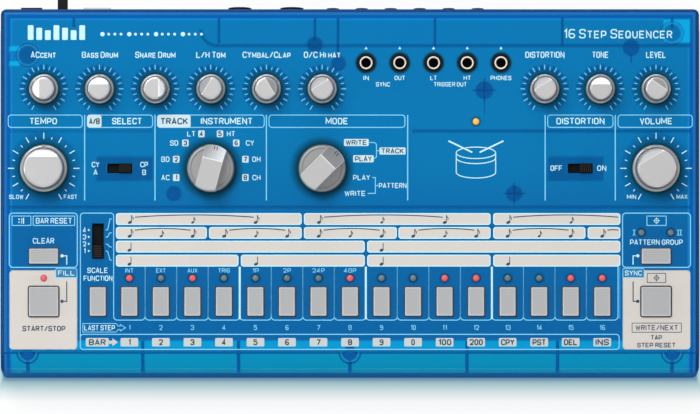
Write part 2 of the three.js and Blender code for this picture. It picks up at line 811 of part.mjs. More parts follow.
// A slide switch lever: a block through the slot with a flange under the panel, which covers the
// slot at both ends of the travel
function leverGeometry(width, depth, reachX, reachY) {
  const level = (z, moreX = 0, moreY = moreX) => ring({
    width: width + moreX * 2, depth: depth + moreY * 2, corner: buttonCorner, z, steps: 1,
  });
  const low = flangeTop - leverFlangeThickness;
  return stacked([
    level(leverBase), level(low), level(low, reachX, reachY), level(flangeTop, reachX, reachY),
    level(flangeTop), level(leverRise - buttonEdge), level(leverRise, -buttonEdge),
  ]);
}

// Clear light guides that stand on the control board, joined by a runner where there are several
function lightGeometry(places) {
  const [firstU, v] = places[0];
  const lastU = places[places.length - 1][0];
  const guides = places.map(([u]) => turned([
    [0, boardTop + clearance], [lightRadius, boardTop + clearance], [lightRadius, lightShoulder],
    [lightNose, lightRise - lightShoulder], [0, lightRise],
  ], lightSides).translate(u, v, 0));
  const runnerTop = -runnerDrop;
  const runner = block(
    lastU - firstU + lightRadius, runnerWidth, runnerTop - runnerThickness, runnerTop,
    (firstU + lastU) / 2, v,
  );
  return geometryOf(joined(places.length > 1 ? [...guides, runner] : guides));
}

function panelJackGeometry() {
  return turned([
    [0, boardTop + clearance], [jackRadius, boardTop + clearance], [jackRadius, 0],
    [jackRingRadius, 0], [jackRingRadius, jackRingRise], [jackBoreRadius, jackRingRise],
    [jackBoreRadius, jackRingRise - jackBoreDepth], [0, jackRingRise - jackBoreDepth],
  ], jackSides);
}

// A row of small output jacks on one block behind the rear wall
function outputRowGeometry() {
  const first = outputCentres[0];
  const last = outputCentres[outputCount - 1];
  const depth = socketRear - socketFront;
  const body = block(
    last - first + outputJackSide * 2, depth, socketBase, socketBase + outputJackHeight,
    (first + last) / 2, socketFront + depth / 2,
  );
  const noses = outputCentres.map((x) => (
    rearBar(outputJackRadius, socketRear - overrun, outputNoseEnd, x, outputZ)
  ));
  const bores = outputCentres.map((x) => (
    rearBar(
      jackBoreRadius, outputNoseEnd - outputBoreDepth, outputNoseEnd + overrun, x, outputZ,
      lightSides,
    )
  ));
  return geometryOf(joined([body, ...noses]).subtract(joined(bores)));
}

// A round socket: a square body, a round collar in the wall and a core inside a ring-shaped slot
function roundSocketGeometry(x) {
  const depth = socketRear - socketFront;
  const body = block(
    roundSocketBodyWidth, depth, socketBase, socketBase + roundSocketBodyWidth, x,
    socketFront + depth / 2,
  );
  const collar = rearBar(roundSocketRadius, socketRear - overrun, rearY, x, roundZ, jackSides);
  const slotFloor = rearY - roundSlotDepth;
  const slot = solidOf(rearBar(roundSlotRadius, slotFloor, rearY + overrun, x, roundZ, jackSides));
  const coreEnd = rearY + roundCoreReach;
  const core = rearBar(roundCoreRadius, slotFloor - overrun, coreEnd, x, roundZ, jackSides);
  return geometryOf(joined([body, collar]).subtract(slot).add(solidOf(core)));
}

// A square data socket: a folded metal shell round a tongue
function dataSocketGeometry() {
  const x = dataSocketX;
  const depth = noseEnd - socketFront;
  const shell = block(
    dataSocketWidth, depth, socketBase, socketBase + dataSocketHeight, x, socketFront + depth / 2,
  );
  const hollow = block(
    dataSocketWidth - dataShell * 2, dataSocketDepth + overrun, socketBase + dataShell,
    socketBase + dataSocketHeight - dataShell, x, noseEnd + overrun / 2 - dataSocketDepth / 2,
  );
  const tongue = block(
    dataTongueWidth, dataSocketDepth, dataZ - dataTongueHeight / 2, dataZ + dataTongueHeight / 2, x,
    noseEnd - overrun - dataSocketDepth / 2,
  );
  return geometryOf(solidOf(shell).subtract(solidOf(hollow)).add(solidOf(tongue)));
}

// The power inlet: a block with a round bore and a pin in its middle
function inletGeometry() {
  const x = across(inletShare);
  const depth = noseEnd - socketFront;
  const body = block(
    inletWidth, depth, socketBase, socketBase + inletHeight, x, socketFront + depth / 2,
  );
  const boreFloor = noseEnd - inletBoreDepth;
  const bore = rearBar(inletBoreRadius, boreFloor, noseEnd + overrun, x, inletZ);
  const pin = rearBar(inletPinRadius, boreFloor - overrun, noseEnd - overrun, x, inletZ, lightSides);
  return geometryOf(solidOf(body).subtract(solidOf(bore)).add(solidOf(pin)));
}

// The power lever: a bar through the rear wall with a flange inside it, which covers the slot at
// both ends of the travel
function powerLeverGeometry() {
  const flangeRear = wallInside - clearance;
  const flangeFront = flangeRear - powerFlangeThickness;
  const end = rearY + leverReach;
  const flangeHalf = powerLeverHeight / 2 + powerFlangeReach;
  return geometryOf(joined([
    block(
      powerLeverWidth, end - flangeFront, -powerLeverHeight / 2, powerLeverHeight / 2, 0,
      (end + flangeFront) / 2,
    ),
    block(
      powerFlangeWidth, powerFlangeThickness, -flangeHalf, flangeHalf, 0,
      (flangeRear + flangeFront) / 2,
    ),
  ]));
}

// Finishes
const finish = (color, roughness, metalness = 0) => new THREE.MeshStandardMaterial({
  color, roughness, metalness,
});
const caseBlue = () => finish(0x0479b8, 0.35);
const knobGrey = () => finish(0xc6c8c9, 0.4);
const buttonGrey = () => finish(0xbdbfc2, 0.45);
const rubberBlack = () => finish(0x1b1b1c, 0.9);
const boardGreen = () => finish(0x1f5a3a, 0.6);
const socketBlack = () => finish(0x151516, 0.5);
const plateSilver = () => finish(0xd0d2d4, 0.3, 0.9);
const clearLens = () => finish(0xd8d2cc, 0.2);

const machine = new THREE.Group();
const panel = new THREE.Group();
panel.position.set(0, caseY, topAt(caseY));
panel.rotation.x = tilt;
machine.add(panel);

function addTo(group, name, geometry, material, x = 0, y = 0, z = 0) {
  const mesh = new THREE.Mesh(geometry, material);
  mesh.name = name;
  mesh.position.set(x, y, z);
  group.add(mesh);
  return mesh;
}

addTo(machine, 'top_cover', topCoverGeometry(), caseBlue());
addTo(machine, 'bottom_cover', bottomCoverGeometry(), caseBlue());
footPlaces.forEach(([name, x, y]) => addTo(machine, name, footGeometry(), rubberBlack(), x, y));
addTo(panel, 'control_board', controlBoardGeometry(), boardGreen());
addTo(machine, 'rear_board', rearBoardGeometry(), boardGreen());
addTo(machine, 'ribbon_cable', ribbonGeometry(), finish(0x8d9094, 0.7));

// Knobs point to the rear as made, and are then turned clockwise to where they stand
function addTurned(name, geometry, [u, v], degrees) {
  const mesh = addTo(panel, name, geometry, knobGrey(), u, v);
  mesh.rotation.z = -THREE.MathUtils.degToRad(degrees);
}

knobNames.forEach((name, index) => {
  const geometry = knobGeometry(
    smallSkirtRadius, smallGrooveRadius, smallCapRadius, smallFacetChord, knobSides,
  );
  addTurned(name, geometry, knobPlaces[index], knobTurns[name]);
});
const bigKnob = () => knobGeometry(
  bigSkirtRadius, bigGrooveRadius, bigCapRadius, bigFacetChord, bigKnobSides,
);
addTurned('tempo_knob', bigKnob(), tempoPlace, 0);
addTurned('volume_knob', bigKnob(), volumePlace, volumeTurn);
addTurned('instrument_selector', selectorGeometry(), instrumentPlace, instrumentTurn);
addTurned('mode_selector', selectorGeometry(), modePlace, modeTurn);

buttons.forEach(([name, [u, v], width, depth]) => {
  addTo(panel, name, buttonGeometry(width, depth), buttonGrey(), u, v);
});

// The levers across the panel rest at the right end of their slots, the scale lever at the lower end
const leverShift = slotLength / 2 - clearance - leverLength / 2;
const scaleShift = scaleSlotLength / 2 - clearance - leverLength / 2;
const leverWide = slotWidth - clearance * 2;
const scaleWide = scaleSlotWidth - clearance * 2;
const coverReach = (slot) => slot - clearance - leverLength + leverFlangeOverlap;
[['sound_select_slider', selectSlot], ['distortion_slider', distortionSlot]].forEach(
  ([name, [u, v]]) => {
    const lever = leverGeometry(leverLength, leverWide, coverReach(slotLength), leverFlangeReach);
    addTo(panel, name, lever, socketBlack(), u + leverShift, v);
  },
);
const scaleLever = leverGeometry(
  scaleWide, leverLength, leverFlangeReach, coverReach(scaleSlotLength),
);
addTo(panel, 'scale_slider', scaleLever, socketBlack(), scaleSlot[0], scaleSlot[1] - scaleShift);

addTo(panel, 'step_light_bar', lightGeometry(stepLightPlaces), clearLens());
addTo(panel, 'pattern_light_bar', lightGeometry(patternLightPlaces), clearLens());
addTo(panel, 'status_light', lightGeometry([statusPlace]), clearLens());
jackNames.forEach((name, index) => {
  addTo(panel, name, panelJackGeometry(), plateSilver(), ...jackPlace(index));
});

addTo(machine, 'power_inlet', inletGeometry(), socketBlack());
const powerLeverPlace = [powerLeverX, 0, powerZ];
addTo(machine, 'power_switch_lever', powerLeverGeometry(), socketBlack(), ...powerLeverPlace);
addTo(machine, 'data_socket', dataSocketGeometry(), plateSilver());
addTo(machine, 'round_in_socket', roundSocketGeometry(roundInX), socketBlack());
addTo(machine, 'round_out_socket', roundSocketGeometry(roundOutX), socketBlack());
addTo(machine, 'output_jack_row', outputRowGeometry(), socketBlack());

export default machine;
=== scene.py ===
"""A table-top drum machine with a clear blue case: knobs, selectors, buttons, lights and sockets.

Every piece is worked out in millimetres. The sloping control panel has its own axes: u to the
right, v up the slope and w out of its face, with the origin in the middle of the case's depth.
"""
import math

import bmesh
import bpy
import numpy as np
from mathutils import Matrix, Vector


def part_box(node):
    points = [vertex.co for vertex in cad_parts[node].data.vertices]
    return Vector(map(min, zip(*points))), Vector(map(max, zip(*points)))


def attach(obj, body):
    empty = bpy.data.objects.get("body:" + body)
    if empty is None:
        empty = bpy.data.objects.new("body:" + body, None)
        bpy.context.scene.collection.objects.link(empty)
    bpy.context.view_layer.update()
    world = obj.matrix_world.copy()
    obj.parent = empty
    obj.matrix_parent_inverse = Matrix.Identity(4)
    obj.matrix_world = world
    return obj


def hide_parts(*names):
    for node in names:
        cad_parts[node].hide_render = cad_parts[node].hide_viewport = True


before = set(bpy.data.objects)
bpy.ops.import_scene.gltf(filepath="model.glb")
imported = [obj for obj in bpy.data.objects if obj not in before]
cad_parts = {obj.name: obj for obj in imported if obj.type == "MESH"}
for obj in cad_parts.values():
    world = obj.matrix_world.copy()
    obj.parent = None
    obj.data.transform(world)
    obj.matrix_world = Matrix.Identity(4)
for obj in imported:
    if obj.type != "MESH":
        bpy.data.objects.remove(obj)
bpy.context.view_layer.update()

bl_info = {
    "name": "Drum machine",
    "version": (1, 0, 0),
    "blender": (4, 5, 0),
    "location": "3D View > Sidebar > Drum machine",
    "description": "Builds a table-top drum machine around its measured frame",
    "category": "Add Mesh",
}

MM = 0.001

# Width that the camera takes in at the panel, in metres
FRAME_WIDTH = 0.30544

# The panel's columns, rows and depths, in millimetres from its middle
STEP_COUNT = 16
STEP_PITCH = 13.752
STEP_COLUMNS = [-96.2 + STEP_PITCH * index for index in range(STEP_COUNT)]
JACK_COLUMNS = [36.493 + 14.716 * (index - 2) for index in range(5)]
OUTER_COLUMN = 133.594
LEVER_COLUMN = 100.452
SCALE_COLUMN = -109.952
JACK_ROW = 55.701
KNOB_ROW = 44.326
DIAL_ROW = 9.626
PATTERN_LIGHT_ROW = -18.38
SMALL_BUTTON_ROW = -28.69
LIGHT_ROW = -38.30
BUTTON_ROW = -48.50
BOARD_LEVEL = -11.7

# Sizes that all knobs share: shaft, notch and slopes, in millimetres and degrees
SHAFT = 3.0
SHAFT_FOOT = -3.7
NOTCH = 0.62
KNOB_SLOPE = 42
GRIP_SLOPE = 52

# Depth of the moulded grain in metres, and the width in which the case's margin changes tone
GRAIN_DEPTH = 0.0002
CASE_MARGIN = 6

# Each knob's column and the turn of its pointer in degrees, clockwise from straight up
SMALL_KNOBS = {
    "knob_accent": (-133.594, -90), "knob_bass": (-109.301, 0), "knob_snare": (-85.008, 90),
    "knob_tom": (-60.715, -60), "knob_cymbal": (-36.421, 60), "knob_hihat": (-12.128, -30),
    "knob_distortion": (85.008, -30), "knob_tone": (109.301, 0), "knob_level": (133.594, 35),
}
BIG_KNOBS = {"tempo_knob": (-133.594, 0), "volume_knob": (133.594, -30)}

# How far each knob's facet is darker, as painted shade, or under zero lighter, as painted
# highlight, by the way the facet faces the light
FACET_PAINTED_LIGHT = {"knob_hihat": -0.45, "knob_distortion": -0.45, "volume_knob": -0.55,
               "knob_cymbal": 0.2, "knob_level": 0.28, "knob_snare": 0.16, "tempo_knob": 0.1}

# Each selector's column, its pointer's turn, and the painted light at both sides of its slope: over
# zero a painted shade, under zero a painted highlight
SELECTORS = {"instrument_selector": (-60.715, 15, 0.3, -0.7),
             "mode_selector": (-12.128, 45, 0.55, 0.5)}
LIT_STEPS = (0, 2, 7, 10, 11, 14, 15)


def srgb(red, green, blue):
    """The linear colour of a screen colour given in 0 to 255."""
    share = np.array([red, green, blue]) / 255
    linear = np.where(share <= 0.04045, share / 12.92, ((share + 0.055) / 1.055) ** 2.4)
    return tuple(float(part) for part in linear) + (1.0,)


def length(name, description, default, low=0.0, high=1.0):
    """A length of the drum machine, in metres in the interface and given here in millimetres."""
    return bpy.props.FloatProperty(
        name=name, description=description, default=default * MM, min=low, max=high,
        subtype="DISTANCE", unit="LENGTH")


def colour(name, description, red, green, blue):
    """A colour of the drum machine, given here in 0 to 255."""
    return bpy.props.FloatVectorProperty(
        name=name, description=description, default=srgb(red, green, blue)[:3], size=3,
        min=0.0, max=1.0, subtype="COLOR")


class DrumCaseSizes(bpy.types.PropertyGroup):
    """Sizes of the case and its panel."""
    half_width: length("Half width", "From the middle to a side", 152.5)
    rear_y: length("Rear wall", "Place of the rear wall's outside", 75.7)
    front_y: length("Front edge", "Distance of the front edge before the origin", 82.5)
    middle_y: length("Middle", "How far the middle of the case lies before the origin", 3.4)
    rear_height: length("Rear height", "Top edge of the rear wall over the table", 45)
    crease_v: length("Crease", "From the panel's middle down to the crease of the bevel", 70.5)
    corner: length("Corner", "Radius of the case's upright corners", 4)
    tight: length("Tight corner", "Radius to which the upright corners are drawn out", 2.4)
    tilt: bpy.props.FloatProperty(
        name="Panel tilt", description="Slope of the panel", default=math.radians(5),
        subtype="ANGLE")
    bevel: bpy.props.FloatProperty(
        name="Bevel tilt", description="Slope of the front bevel", default=math.radians(31),
        subtype="ANGLE")


class DrumControlSizes(bpy.types.PropertyGroup):
    """Sizes of the knobs, buttons, levers and lights."""
    lift: length("Knob lift", "Gap between a knob and the panel", 0.6)
    knob_height: length("Knob height", "From a knob's lower face to its top", 13.4)
    skirt_height: length("Skirt height", "Height of a knob's skirt", 2.4)
    skirt_chamfer: length("Skirt chamfer", "Chamfer of a knob's skirt", 0.8)
    groove_depth: length("Groove depth", "Depth of the ring groove between skirt and cap", 1)
    small_skirt: length("Small skirt", "Radius of a small knob's skirt", 6.4)
    small_groove: length("Small groove", "Outer radius of a small knob's groove", 5.5)
    small_cap: length("Small cap", "Radius of a small knob's cap", 5.05)
    small_facet: length("Small facet", "From the axis to a small knob's facet", 1.8)
    big_skirt: length("Big skirt", "Radius of a big knob's skirt", 10.3)
    big_groove: length("Big groove", "Outer radius of a big knob's groove", 9.1)
    big_cap: length("Big cap", "Radius of a big knob's cap", 8.7)
    big_facet: length("Big facet", "From the axis to a big knob's facet", 5)
    selector: length("Selector", "Radius of a selector's disc", 10.35)
    disc_height: length("Disc height", "Height of a selector's disc", 4.2)
    grip_width: length("Grip width", "Width of a selector's grip", 9)
    grip_facet: length("Grip facet", "From the axis to the grip's sloping end", 3.7)
    button_rise: length("Button rise", "How far a button stands out of the panel", 1.8)
    light_radius: length("Light radius", "Radius of an indicator light", 1.5)
    light_rise: length("Light rise", "How far a light stands out of the panel", 0.9)
    lever_rise: length("Lever rise", "How far a slide lever stands out of the panel", 2)
    jack_radius: length("Jack radius", "Radius of a panel jack's collar", 4.15)
    jack_ring: length("Jack ring", "Radius of a panel jack's plated ring", 2.8)
    print_rise: length("Print rise", "How far the printing stands over the panel", 0.03)


class DrumColours(bpy.types.PropertyGroup):
    """Colours of the drum machine."""
    case: colour("Case", "Clear blue of the case", 2, 124, 184)
    shade: colour("Shade", "Blue over the lower rows, where the boards lie close", 6, 104, 168)
    inner: colour("Inner", "Darker blue of posts and ribs seen through the shell", 2, 92, 166)
    halo: colour("Halo", "Lighter blue round the posts", 48, 150, 214)
    gloom: colour("Gloom", "Dark teal round the knobs, where they shade the shell", 6, 72, 94)
    bevel: colour("Bevel", "Blue of the front bevel, which lets more light through", 0, 147, 192)
    bright: colour("Bright edge", "Blue where light passes through the shell", 0, 164, 222)
    # deep, border and glint paint light on the shell's rounded upper edges: deep is painted shade
    # where the rounding turns from the light, border a painted highlight along it and glint a
    # painted highlight where the wall's inside meets the panel
    deep: colour("Deep edge", "Blue of the shell's dark upper edges", 0, 60, 122)
    low: colour("Low wall", "Blue of the upright walls", 0, 92, 156)
    border: colour("Border", "Blue along the rounded edges", 30, 114, 184)
    shelf: colour("Shelf", "Blue between the walls and the boards", 0, 96, 176)
    glint: colour("Glint", "Line where the wall's inside meets the panel", 8, 132, 206)
    white: colour("White print", "White of the lettering", 194, 239, 251)
    line: colour("Line print", "Pale blue of the outlines", 118, 208, 246)
    beige: colour("Beige print", "Warm grey of the printed fields", 212, 206, 200)
    pale: colour("Pale print", "Bluish white of the tags and of the selector's numbers",
                 200, 227, 237)
    box: colour("Number box", "Light grey of the number boxes of the lowest row", 197, 205, 204)
    # Painted shade: the dark tones of the lines printed round the buttons, where the openings round
    # them lie in shadow; the first also paints shade on the buttons' rear edges.
    gap: colour("Gap", "Dark of the gap round a button", 40, 40, 44)
    nook: colour("Nook", "Dark blue of the gap round a button on the clear shell", 14, 66, 98)
    # Painted highlight on the knobs' facet chords, the grips' top edges and the buttons' side edges
    shine: colour("Shine", "Near white of facets' chords and of buttons' edges", 242, 244, 246)
    ink: colour("Dark print", "Dark blue of the notes and figures", 14, 60, 88)
    knob: colour("Knob", "Grey of the knobs", 200, 200, 200)
    # Also painted shade: in the knobs' grooves, on darker facets and on the selectors' rims
    skirt: colour("Skirt", "Darker grey of the knobs' skirts and grooves", 66, 78, 84)
    slope: colour("Slope", "Dark grey of the shaded parts of a selector's slope", 86, 84, 80)
    button: colour("Button", "Grey of the buttons", 174, 175, 176)
    black: colour("Black", "Black of the levers and sockets", 10, 11, 12)
    lit: colour("Lit", "Red of a light that is on", 222, 96, 98)
    # The tones round the foot of each lens are painted shade.
    lit_rim: colour("Lit rim", "Dark red round the foot of a light that is on", 186, 76, 100)
    unlit: colour("Unlit", "Grey of a light that is off", 106, 124, 130)
    unlit_rim: colour("Unlit rim", "Blue grey round the foot of a light that is off", 64, 96, 120)
    status: colour("Status", "Orange of the power light", 244, 184, 86)
    amber: colour("Amber", "Brown round the foot of the power light", 176, 120, 60)
    # Painted highlight: the lighter brown black that the slide levers' ridges take towards their
    # tops
    ridge: colour("Ridge", "Worn brown black of the slide levers' ridges", 46, 42, 38)
    board: colour("Board", "Green of the boards", 26, 78, 52)


# Shapes


def new_object(name, data):
    """An object at the origin, in the scene."""
    made = bpy.data.objects.new(name, data)
    bpy.context.scene.collection.objects.link(made)
    return made


def keep_at_points(mesh, name, values):
    """Keeps a number at each point of a mesh, under a name that materials can read."""
    layer = mesh.attributes.new(name, "FLOAT", "POINT")
    layer.data.foreach_set("value", values.astype(np.float32))


class Shape:
    """Points in millimetres and faces that are gathered into one mesh."""

    def __init__(self):
        self.points = []
        self.faces = []
        self.tints = []
        self.count = 0

    def add(self, points, faces, tint=0.0):
        """Adds points, rows of x, y and z, faces that count from the first of them, and how far
        each point takes its finish's second tone."""
        points = np.asarray(points, float).reshape(-1, 3)
        self.tints.append(np.broadcast_to(np.asarray(tint, float).reshape(-1), len(points)))
        self.faces.extend((np.asarray(face) + self.count).tolist() for face in faces)
        self.points.append(points)
        self.count += len(points)
        return self

    def move(self, place):
        """Puts every point gathered so far through the function place."""
        self.points = [place(points) for points in self.points]
        return self

    def piece(self, name, material, smooth=30, bevel=0.0):
        """Makes the object: its mesh in metres, smooth up to an angle, with rounded edges."""
        mesh = bpy.data.meshes.new(name)
        mesh.from_pydata(np.concatenate(self.points) * MM, [], self.faces)
        mesh.materials.append(material)
        mesh.validate()
        # The tint kept at the points mostly paints shade and highlights through the finish's second
        # and third tones.
        tints = np.concatenate(self.tints)
        if tints.any():
            keep_at_points(mesh, "tint", tints)
        if smooth:
            mesh.shade_smooth()
            mesh.set_sharp_from_angle(angle=math.radians(smooth))
        made = new_object(name, mesh)
        if bevel:
            rounding = made.modifiers.new("Rounding", "BEVEL")
            rounding.width = bevel * MM
            rounding.segments = 2
            rounding.limit_method = "ANGLE"
            rounding.angle_limit = math.radians(smooth)
            rounding.harden_normals = True
        return made


def in_millimetres(group):
    """Reads a group of sizes: lengths in millimetres, angles as they are."""
    sizes = {}
    for key, entry in group.bl_rna.properties.items():
        if entry.type == "FLOAT":
            value = getattr(group, key)
            sizes[key] = value if entry.subtype == "ANGLE" else value / MM
    return sizes


def control_sizes():
    """Sizes of the knobs, buttons, levers and lights in millimetres."""
    return in_millimetres(bpy.context.scene.drum_controls)


def case_sizes():
    """The case's sizes with what follows from them: the panel's origin and the crease's place."""
    s = in_millimetres(bpy.context.scene.drum_case)
    s["origin_z"] = s["rear_height"] - (s["rear_y"] + s["middle_y"]) * math.tan(s["tilt"])
    s["crease_y"] = -s["middle_y"] - s["crease_v"] * math.cos(s["tilt"])
    s["crease_z"] = s["rear_height"] - (s["rear_y"] - s["crease_y"]) * math.tan(s["tilt"])
    return s


def on_panel(points):
    """Turns u, v, w into x, y, z: u is x, and v and w are turned up about x by the panel's tilt,
    about the panel's origin over the middle of the case."""
    s = case_sizes()
    u, v, w = np.asarray(points, float).reshape(-1, 3).T
    cos, sin = math.cos(s["tilt"]), math.sin(s["tilt"])
    return np.stack([u, v * cos - w * sin - s["middle_y"], s["origin_z"] + v * sin + w * cos], 1)


def top_at(y):
    """Height of the case's top surface over y: the panel's plane behind the crease, and the
    bevel's steeper plane before it."""
    s = case_sizes()
    panel = s["rear_height"] - (s["rear_y"] - y) * math.tan(s["tilt"])
    bevel = s["crease_z"] - (s["crease_y"] - y) * math.tan(s["bevel"])
    return np.minimum(panel, bevel)


def circle(radius, sides=48):
    """Points at even angles on a circle, anticlockwise, as rows of two."""
    angles = np.arange(sides) * 2 * math.pi / sides
    return np.stack([np.cos(angles), np.sin(angles)], 1) * radius


def rounded(u0, u1, v0, v1, radius=0.0, steps=6):
    """A rectangle with quarter circles for corners, anticlockwise from its lower left one."""
    corners = np.array([[u0, v0], [u1, v0], [u1, v1], [u0, v1]], float)
    if radius <= 0:
        return corners
    turn = np.linspace(0, math.pi / 2, steps + 1)
    centres = corners + np.array([[1, 1], [-1, 1], [-1, -1], [1, -1]]) * radius
    angles = turn[None, :] + np.array([math.pi, 1.5 * math.pi, 0, 0.5 * math.pi])[:, None]
    arcs = np.stack([np.cos(angles), np.sin(angles)], 2) * radius
    return (centres[:, None, :] + arcs).reshape(-1, 2)


def about(u, v, wide, deep, radius=0.0, steps=6):
    """A rounded rectangle about a place."""
    return rounded(u - wide / 2, u + wide / 2, v - deep / 2, v + deep / 2, radius, steps)


def at_height(outline, height):
    """Rows of two made rows of three at one height, or at a height for each row."""
    outline = np.asarray(outline, float)
    return np.column_stack([outline, np.broadcast_to(height, len(outline))])


def ring_faces(rings, around, closed=False):
    """Four-sided faces between neighbouring rings, where ring i's points are i times around."""
    row = np.arange(rings if closed else rings - 1)[:, None]
    column = np.arange(around)[None, :]
    following = (column + 1) % around
    above = (row + 1) % rings
    faces = np.stack([row * around + column, row * around + following,
                      above * around + following, above * around + column], 2)
    return faces.reshape(-1, 4)


def stack(shape, rings, tint=0.0):
    """A body whose skin runs through rings from the lowest to the highest, each anticlockwise
    from above, with a flat face at either end. The tint is one number, or one for each ring."""
    rings = np.asarray(rings, float)
    rows, around = rings.shape[:2]
    foot = np.arange(around)
    faces = [*ring_faces(rows, around), foot[::-1], foot + (rows - 1) * around]
    return shape.add(rings, faces, np.repeat(np.broadcast_to(tint, rows), around))


def turned_rings(profile, centre, sides):
    """Rings about an upright axis through centre, one for each radius and height of a profile."""
    around = circle(1.0, sides)
    return np.array([at_height(around * radius + np.asarray(centre), height)
                     for radius, height in profile])


def turned(shape, profile, centre=(0, 0), sides=48, tint=0.0):
    """A profile of radius and height turned about an upright axis through centre."""
    return stack(shape, turned_rings(profile, centre, sides), tint)


def tube(shape, profile, centre=(0, 0), sides=48):
    """A closed profile of radius and height turned about an upright axis: a ring-shaped body."""
    return shape.add(turned_rings(profile, centre, sides),
                     ring_faces(len(profile), sides, closed=True))


def slab(shape, outline, low, high):
    """A flat outline given a thickness from low to high."""
    return stack(shape, [at_height(outline, low), at_height(outline, high)])


def band(shape, outer, inner, low, high):
    """The strip between two outlines of as many points, given a thickness."""
    rings = np.array([at_height(outer, low), at_height(outer, high),
                      at_height(inner, high), at_height(inner, low)])
    return shape.add(rings, ring_faces(4, len(outer), closed=True))


def stroke(shape, path, width, low, high):
    """A line of a given width along a path: each point moves half the width to either side, along
    the middle of its two neighbouring directions, lengthened so that the width is kept."""
    path = np.asarray(path, float)
    steps = np.diff(path, axis=0)
    steps /= np.linalg.norm(steps, axis=1)[:, None]
    before = np.vstack([steps[:1], steps])
    after = np.vstack([steps, steps[-1:]])
    middle = before + after
    middle /= np.linalg.norm(middle, axis=1)[:, None]
    reach = width / 2 / np.maximum((middle * after).sum(1), 0.35)
    side = np.stack([-middle[:, 1], middle[:, 0]], 1) * reach[:, None]
    count = len(path)
    outline = np.vstack([path - side, (path + side)[::-1]])
    low_ring, high_ring = at_height(outline, low), at_height(outline, high)
    pairs = np.arange(count - 1)
    other = 2 * count - 1 - pairs
    top = np.stack([pairs, pairs + 1, other - 1, other], 1) + 2 * count
    bottom = np.stack([other, other - 1, pairs + 1, pairs], 1)
    walls = ring_faces(2, 2 * count)
    return shape.add(np.vstack([low_ring, high_ring]), [*top, *bottom, *walls])


# Each character as strokes on a grid eight units high, given as pairs of digits for x and y; a
# stroke that starts with a wave has its corners rounded.
STROKES = {
    "A": "003860 1252", "B": "0008 ~08686404 ~04646000", "C": "~666808006062",
    "D": "0008 ~08686000", "E": "68080060 0454", "F": "680800 0454", "G": "~666808006064 6434",
    "H": "0008 6068 0464", "I": "0008", "J": "~58500002", "K": "0008 6803 2560", "L": "080060",
    "M": "0008428880", "N": "00086068", "O": "~040868600004", "P": "0008 ~08686303",
    "Q": "~040868600004 3260", "R": "0008 ~08686404 3460", "S": "~6668080464600002",
    "T": "0868 3038", "U": "~08006068", "V": "083068", "W": "0820476088", "X": "0068 0860",
    "Y": "083468 3430", "Z": "08680060", "0": "~040858500004", "1": "163830",
    "2": "~0608686400 0060", "3": "~0608686424 ~2464600002", "4": "40480262",
    "5": "680805 ~0565600002", "6": "~67680800606404", "7": "086820",
    "8": "~340408686434 ~340400606434", "9": "~01006068080464", "/": "0058", "-": "1454",
}


def softened(path):
    """Rounds a path's corners: twice, each segment keeps only its middle half, and the path's two
    ends stay where they are."""
    for _ in range(2):
        first, last = path[:-1], path[1:]
        cut = np.stack([first * 0.75 + last * 0.25, first * 0.25 + last * 0.75], 1)
        path = np.vstack([path[:1], cut.reshape(-1, 2), path[-1:]])
    return path


def lettered(text):
    """A text's strokes one after the other on the grid, and its whole width there. Small letters
    are drawn as small capitals, eight tenths as high."""
    paths, start, widest = [], 0.0, 0.0
    for character in text:
        size = 0.8 if character.islower() else 1.0
        known = STROKES.get(character.upper(), "")
        for part in known.split():
            digits = [int(digit) for digit in part.lstrip("~")]
            path = np.array(digits, float).reshape(-1, 2) * size
            widest = max(widest, start + path[:, 0].max())
            paths.append(np.add(softened(path) if part[0] == "~" else path, (start, 0)))
        start = widest + 2.9 if known else start + 3.0
    return paths, widest


# Finishes


class Wiring:
    """Makes the nodes of one node tree. A value for an input is a socket to link or a plain one."""

    def __init__(self, tree):
        self.nodes, self.links = tree.nodes, tree.links

    def fill(self, node, inputs):
        """Gives a node's inputs, by name or number, their values."""
        for label, value in inputs.items():
            if isinstance(value, bpy.types.NodeSocket):
                self.links.new(value, node.inputs[label])
            else:
                node.inputs[label].default_value = value
        return node

    def new(self, kind, inputs=None):
        """A new node with the values of its inputs."""
        return self.fill(self.nodes.new("ShaderNode" + kind), inputs or {})

    def reckon(self, operation, *values, clamp=False):
        """A math node's result, kept between 0 and 1 if clamp is set."""
        made = self.new("Math", dict(enumerate(values)))
        made.operation = operation
        made.use_clamp = clamp
        return made.outputs[0]

    def share(self, value, low, high, smooth=False, ends=(0.0, 1.0)):
        """How far a value has come from low to high, as a number between two ends."""
        made = self.new("MapRange", {"Value": value, "From Min": low, "From Max": high,
                                     "To Min": ends[0], "To Max": ends[1]})
        made.interpolation_type = "SMOOTHSTEP" if smooth else "LINEAR"
        return made.outputs["Result"]

    def mix(self, factor, first, second):
        """A colour mixed from two others."""
        made = self.nodes.new("ShaderNodeMix")
        made.data_type = "RGBA"
        return self.fill(made, {0: factor, 6: first, 7: second}).outputs[2]

    def scaled(self, shown, by):
        """A colour times a number."""
        made = self.nodes.new("ShaderNodeVectorMath")
        made.operation = "SCALE"
        return self.fill(made, {0: shown, "Scale": by}).outputs[0]

    def colours(self, value, stops):
        """A colour ramp over a value, from rows of a place and the colour there."""
        made = self.new("ValToRGB", {"Fac": value})
        elements = made.color_ramp.elements
        for _ in stops[2:]:
            elements.new(0.5)
        for element, (place, shown) in zip(elements, stops):
            element.position = place
            element.color = shown
        return made.outputs

    def effect(self, group, inputs):
        """A shared effect's outputs, for a material's own values."""
        made = self.nodes.new("ShaderNodeGroup")
        made.node_tree = group
        return self.fill(made, inputs).outputs

    def attribute(self, name):
        """A number kept at the points under a name."""
        made = self.new("Attribute")
        made.attribute_name = name
        return made.outputs["Fac"]


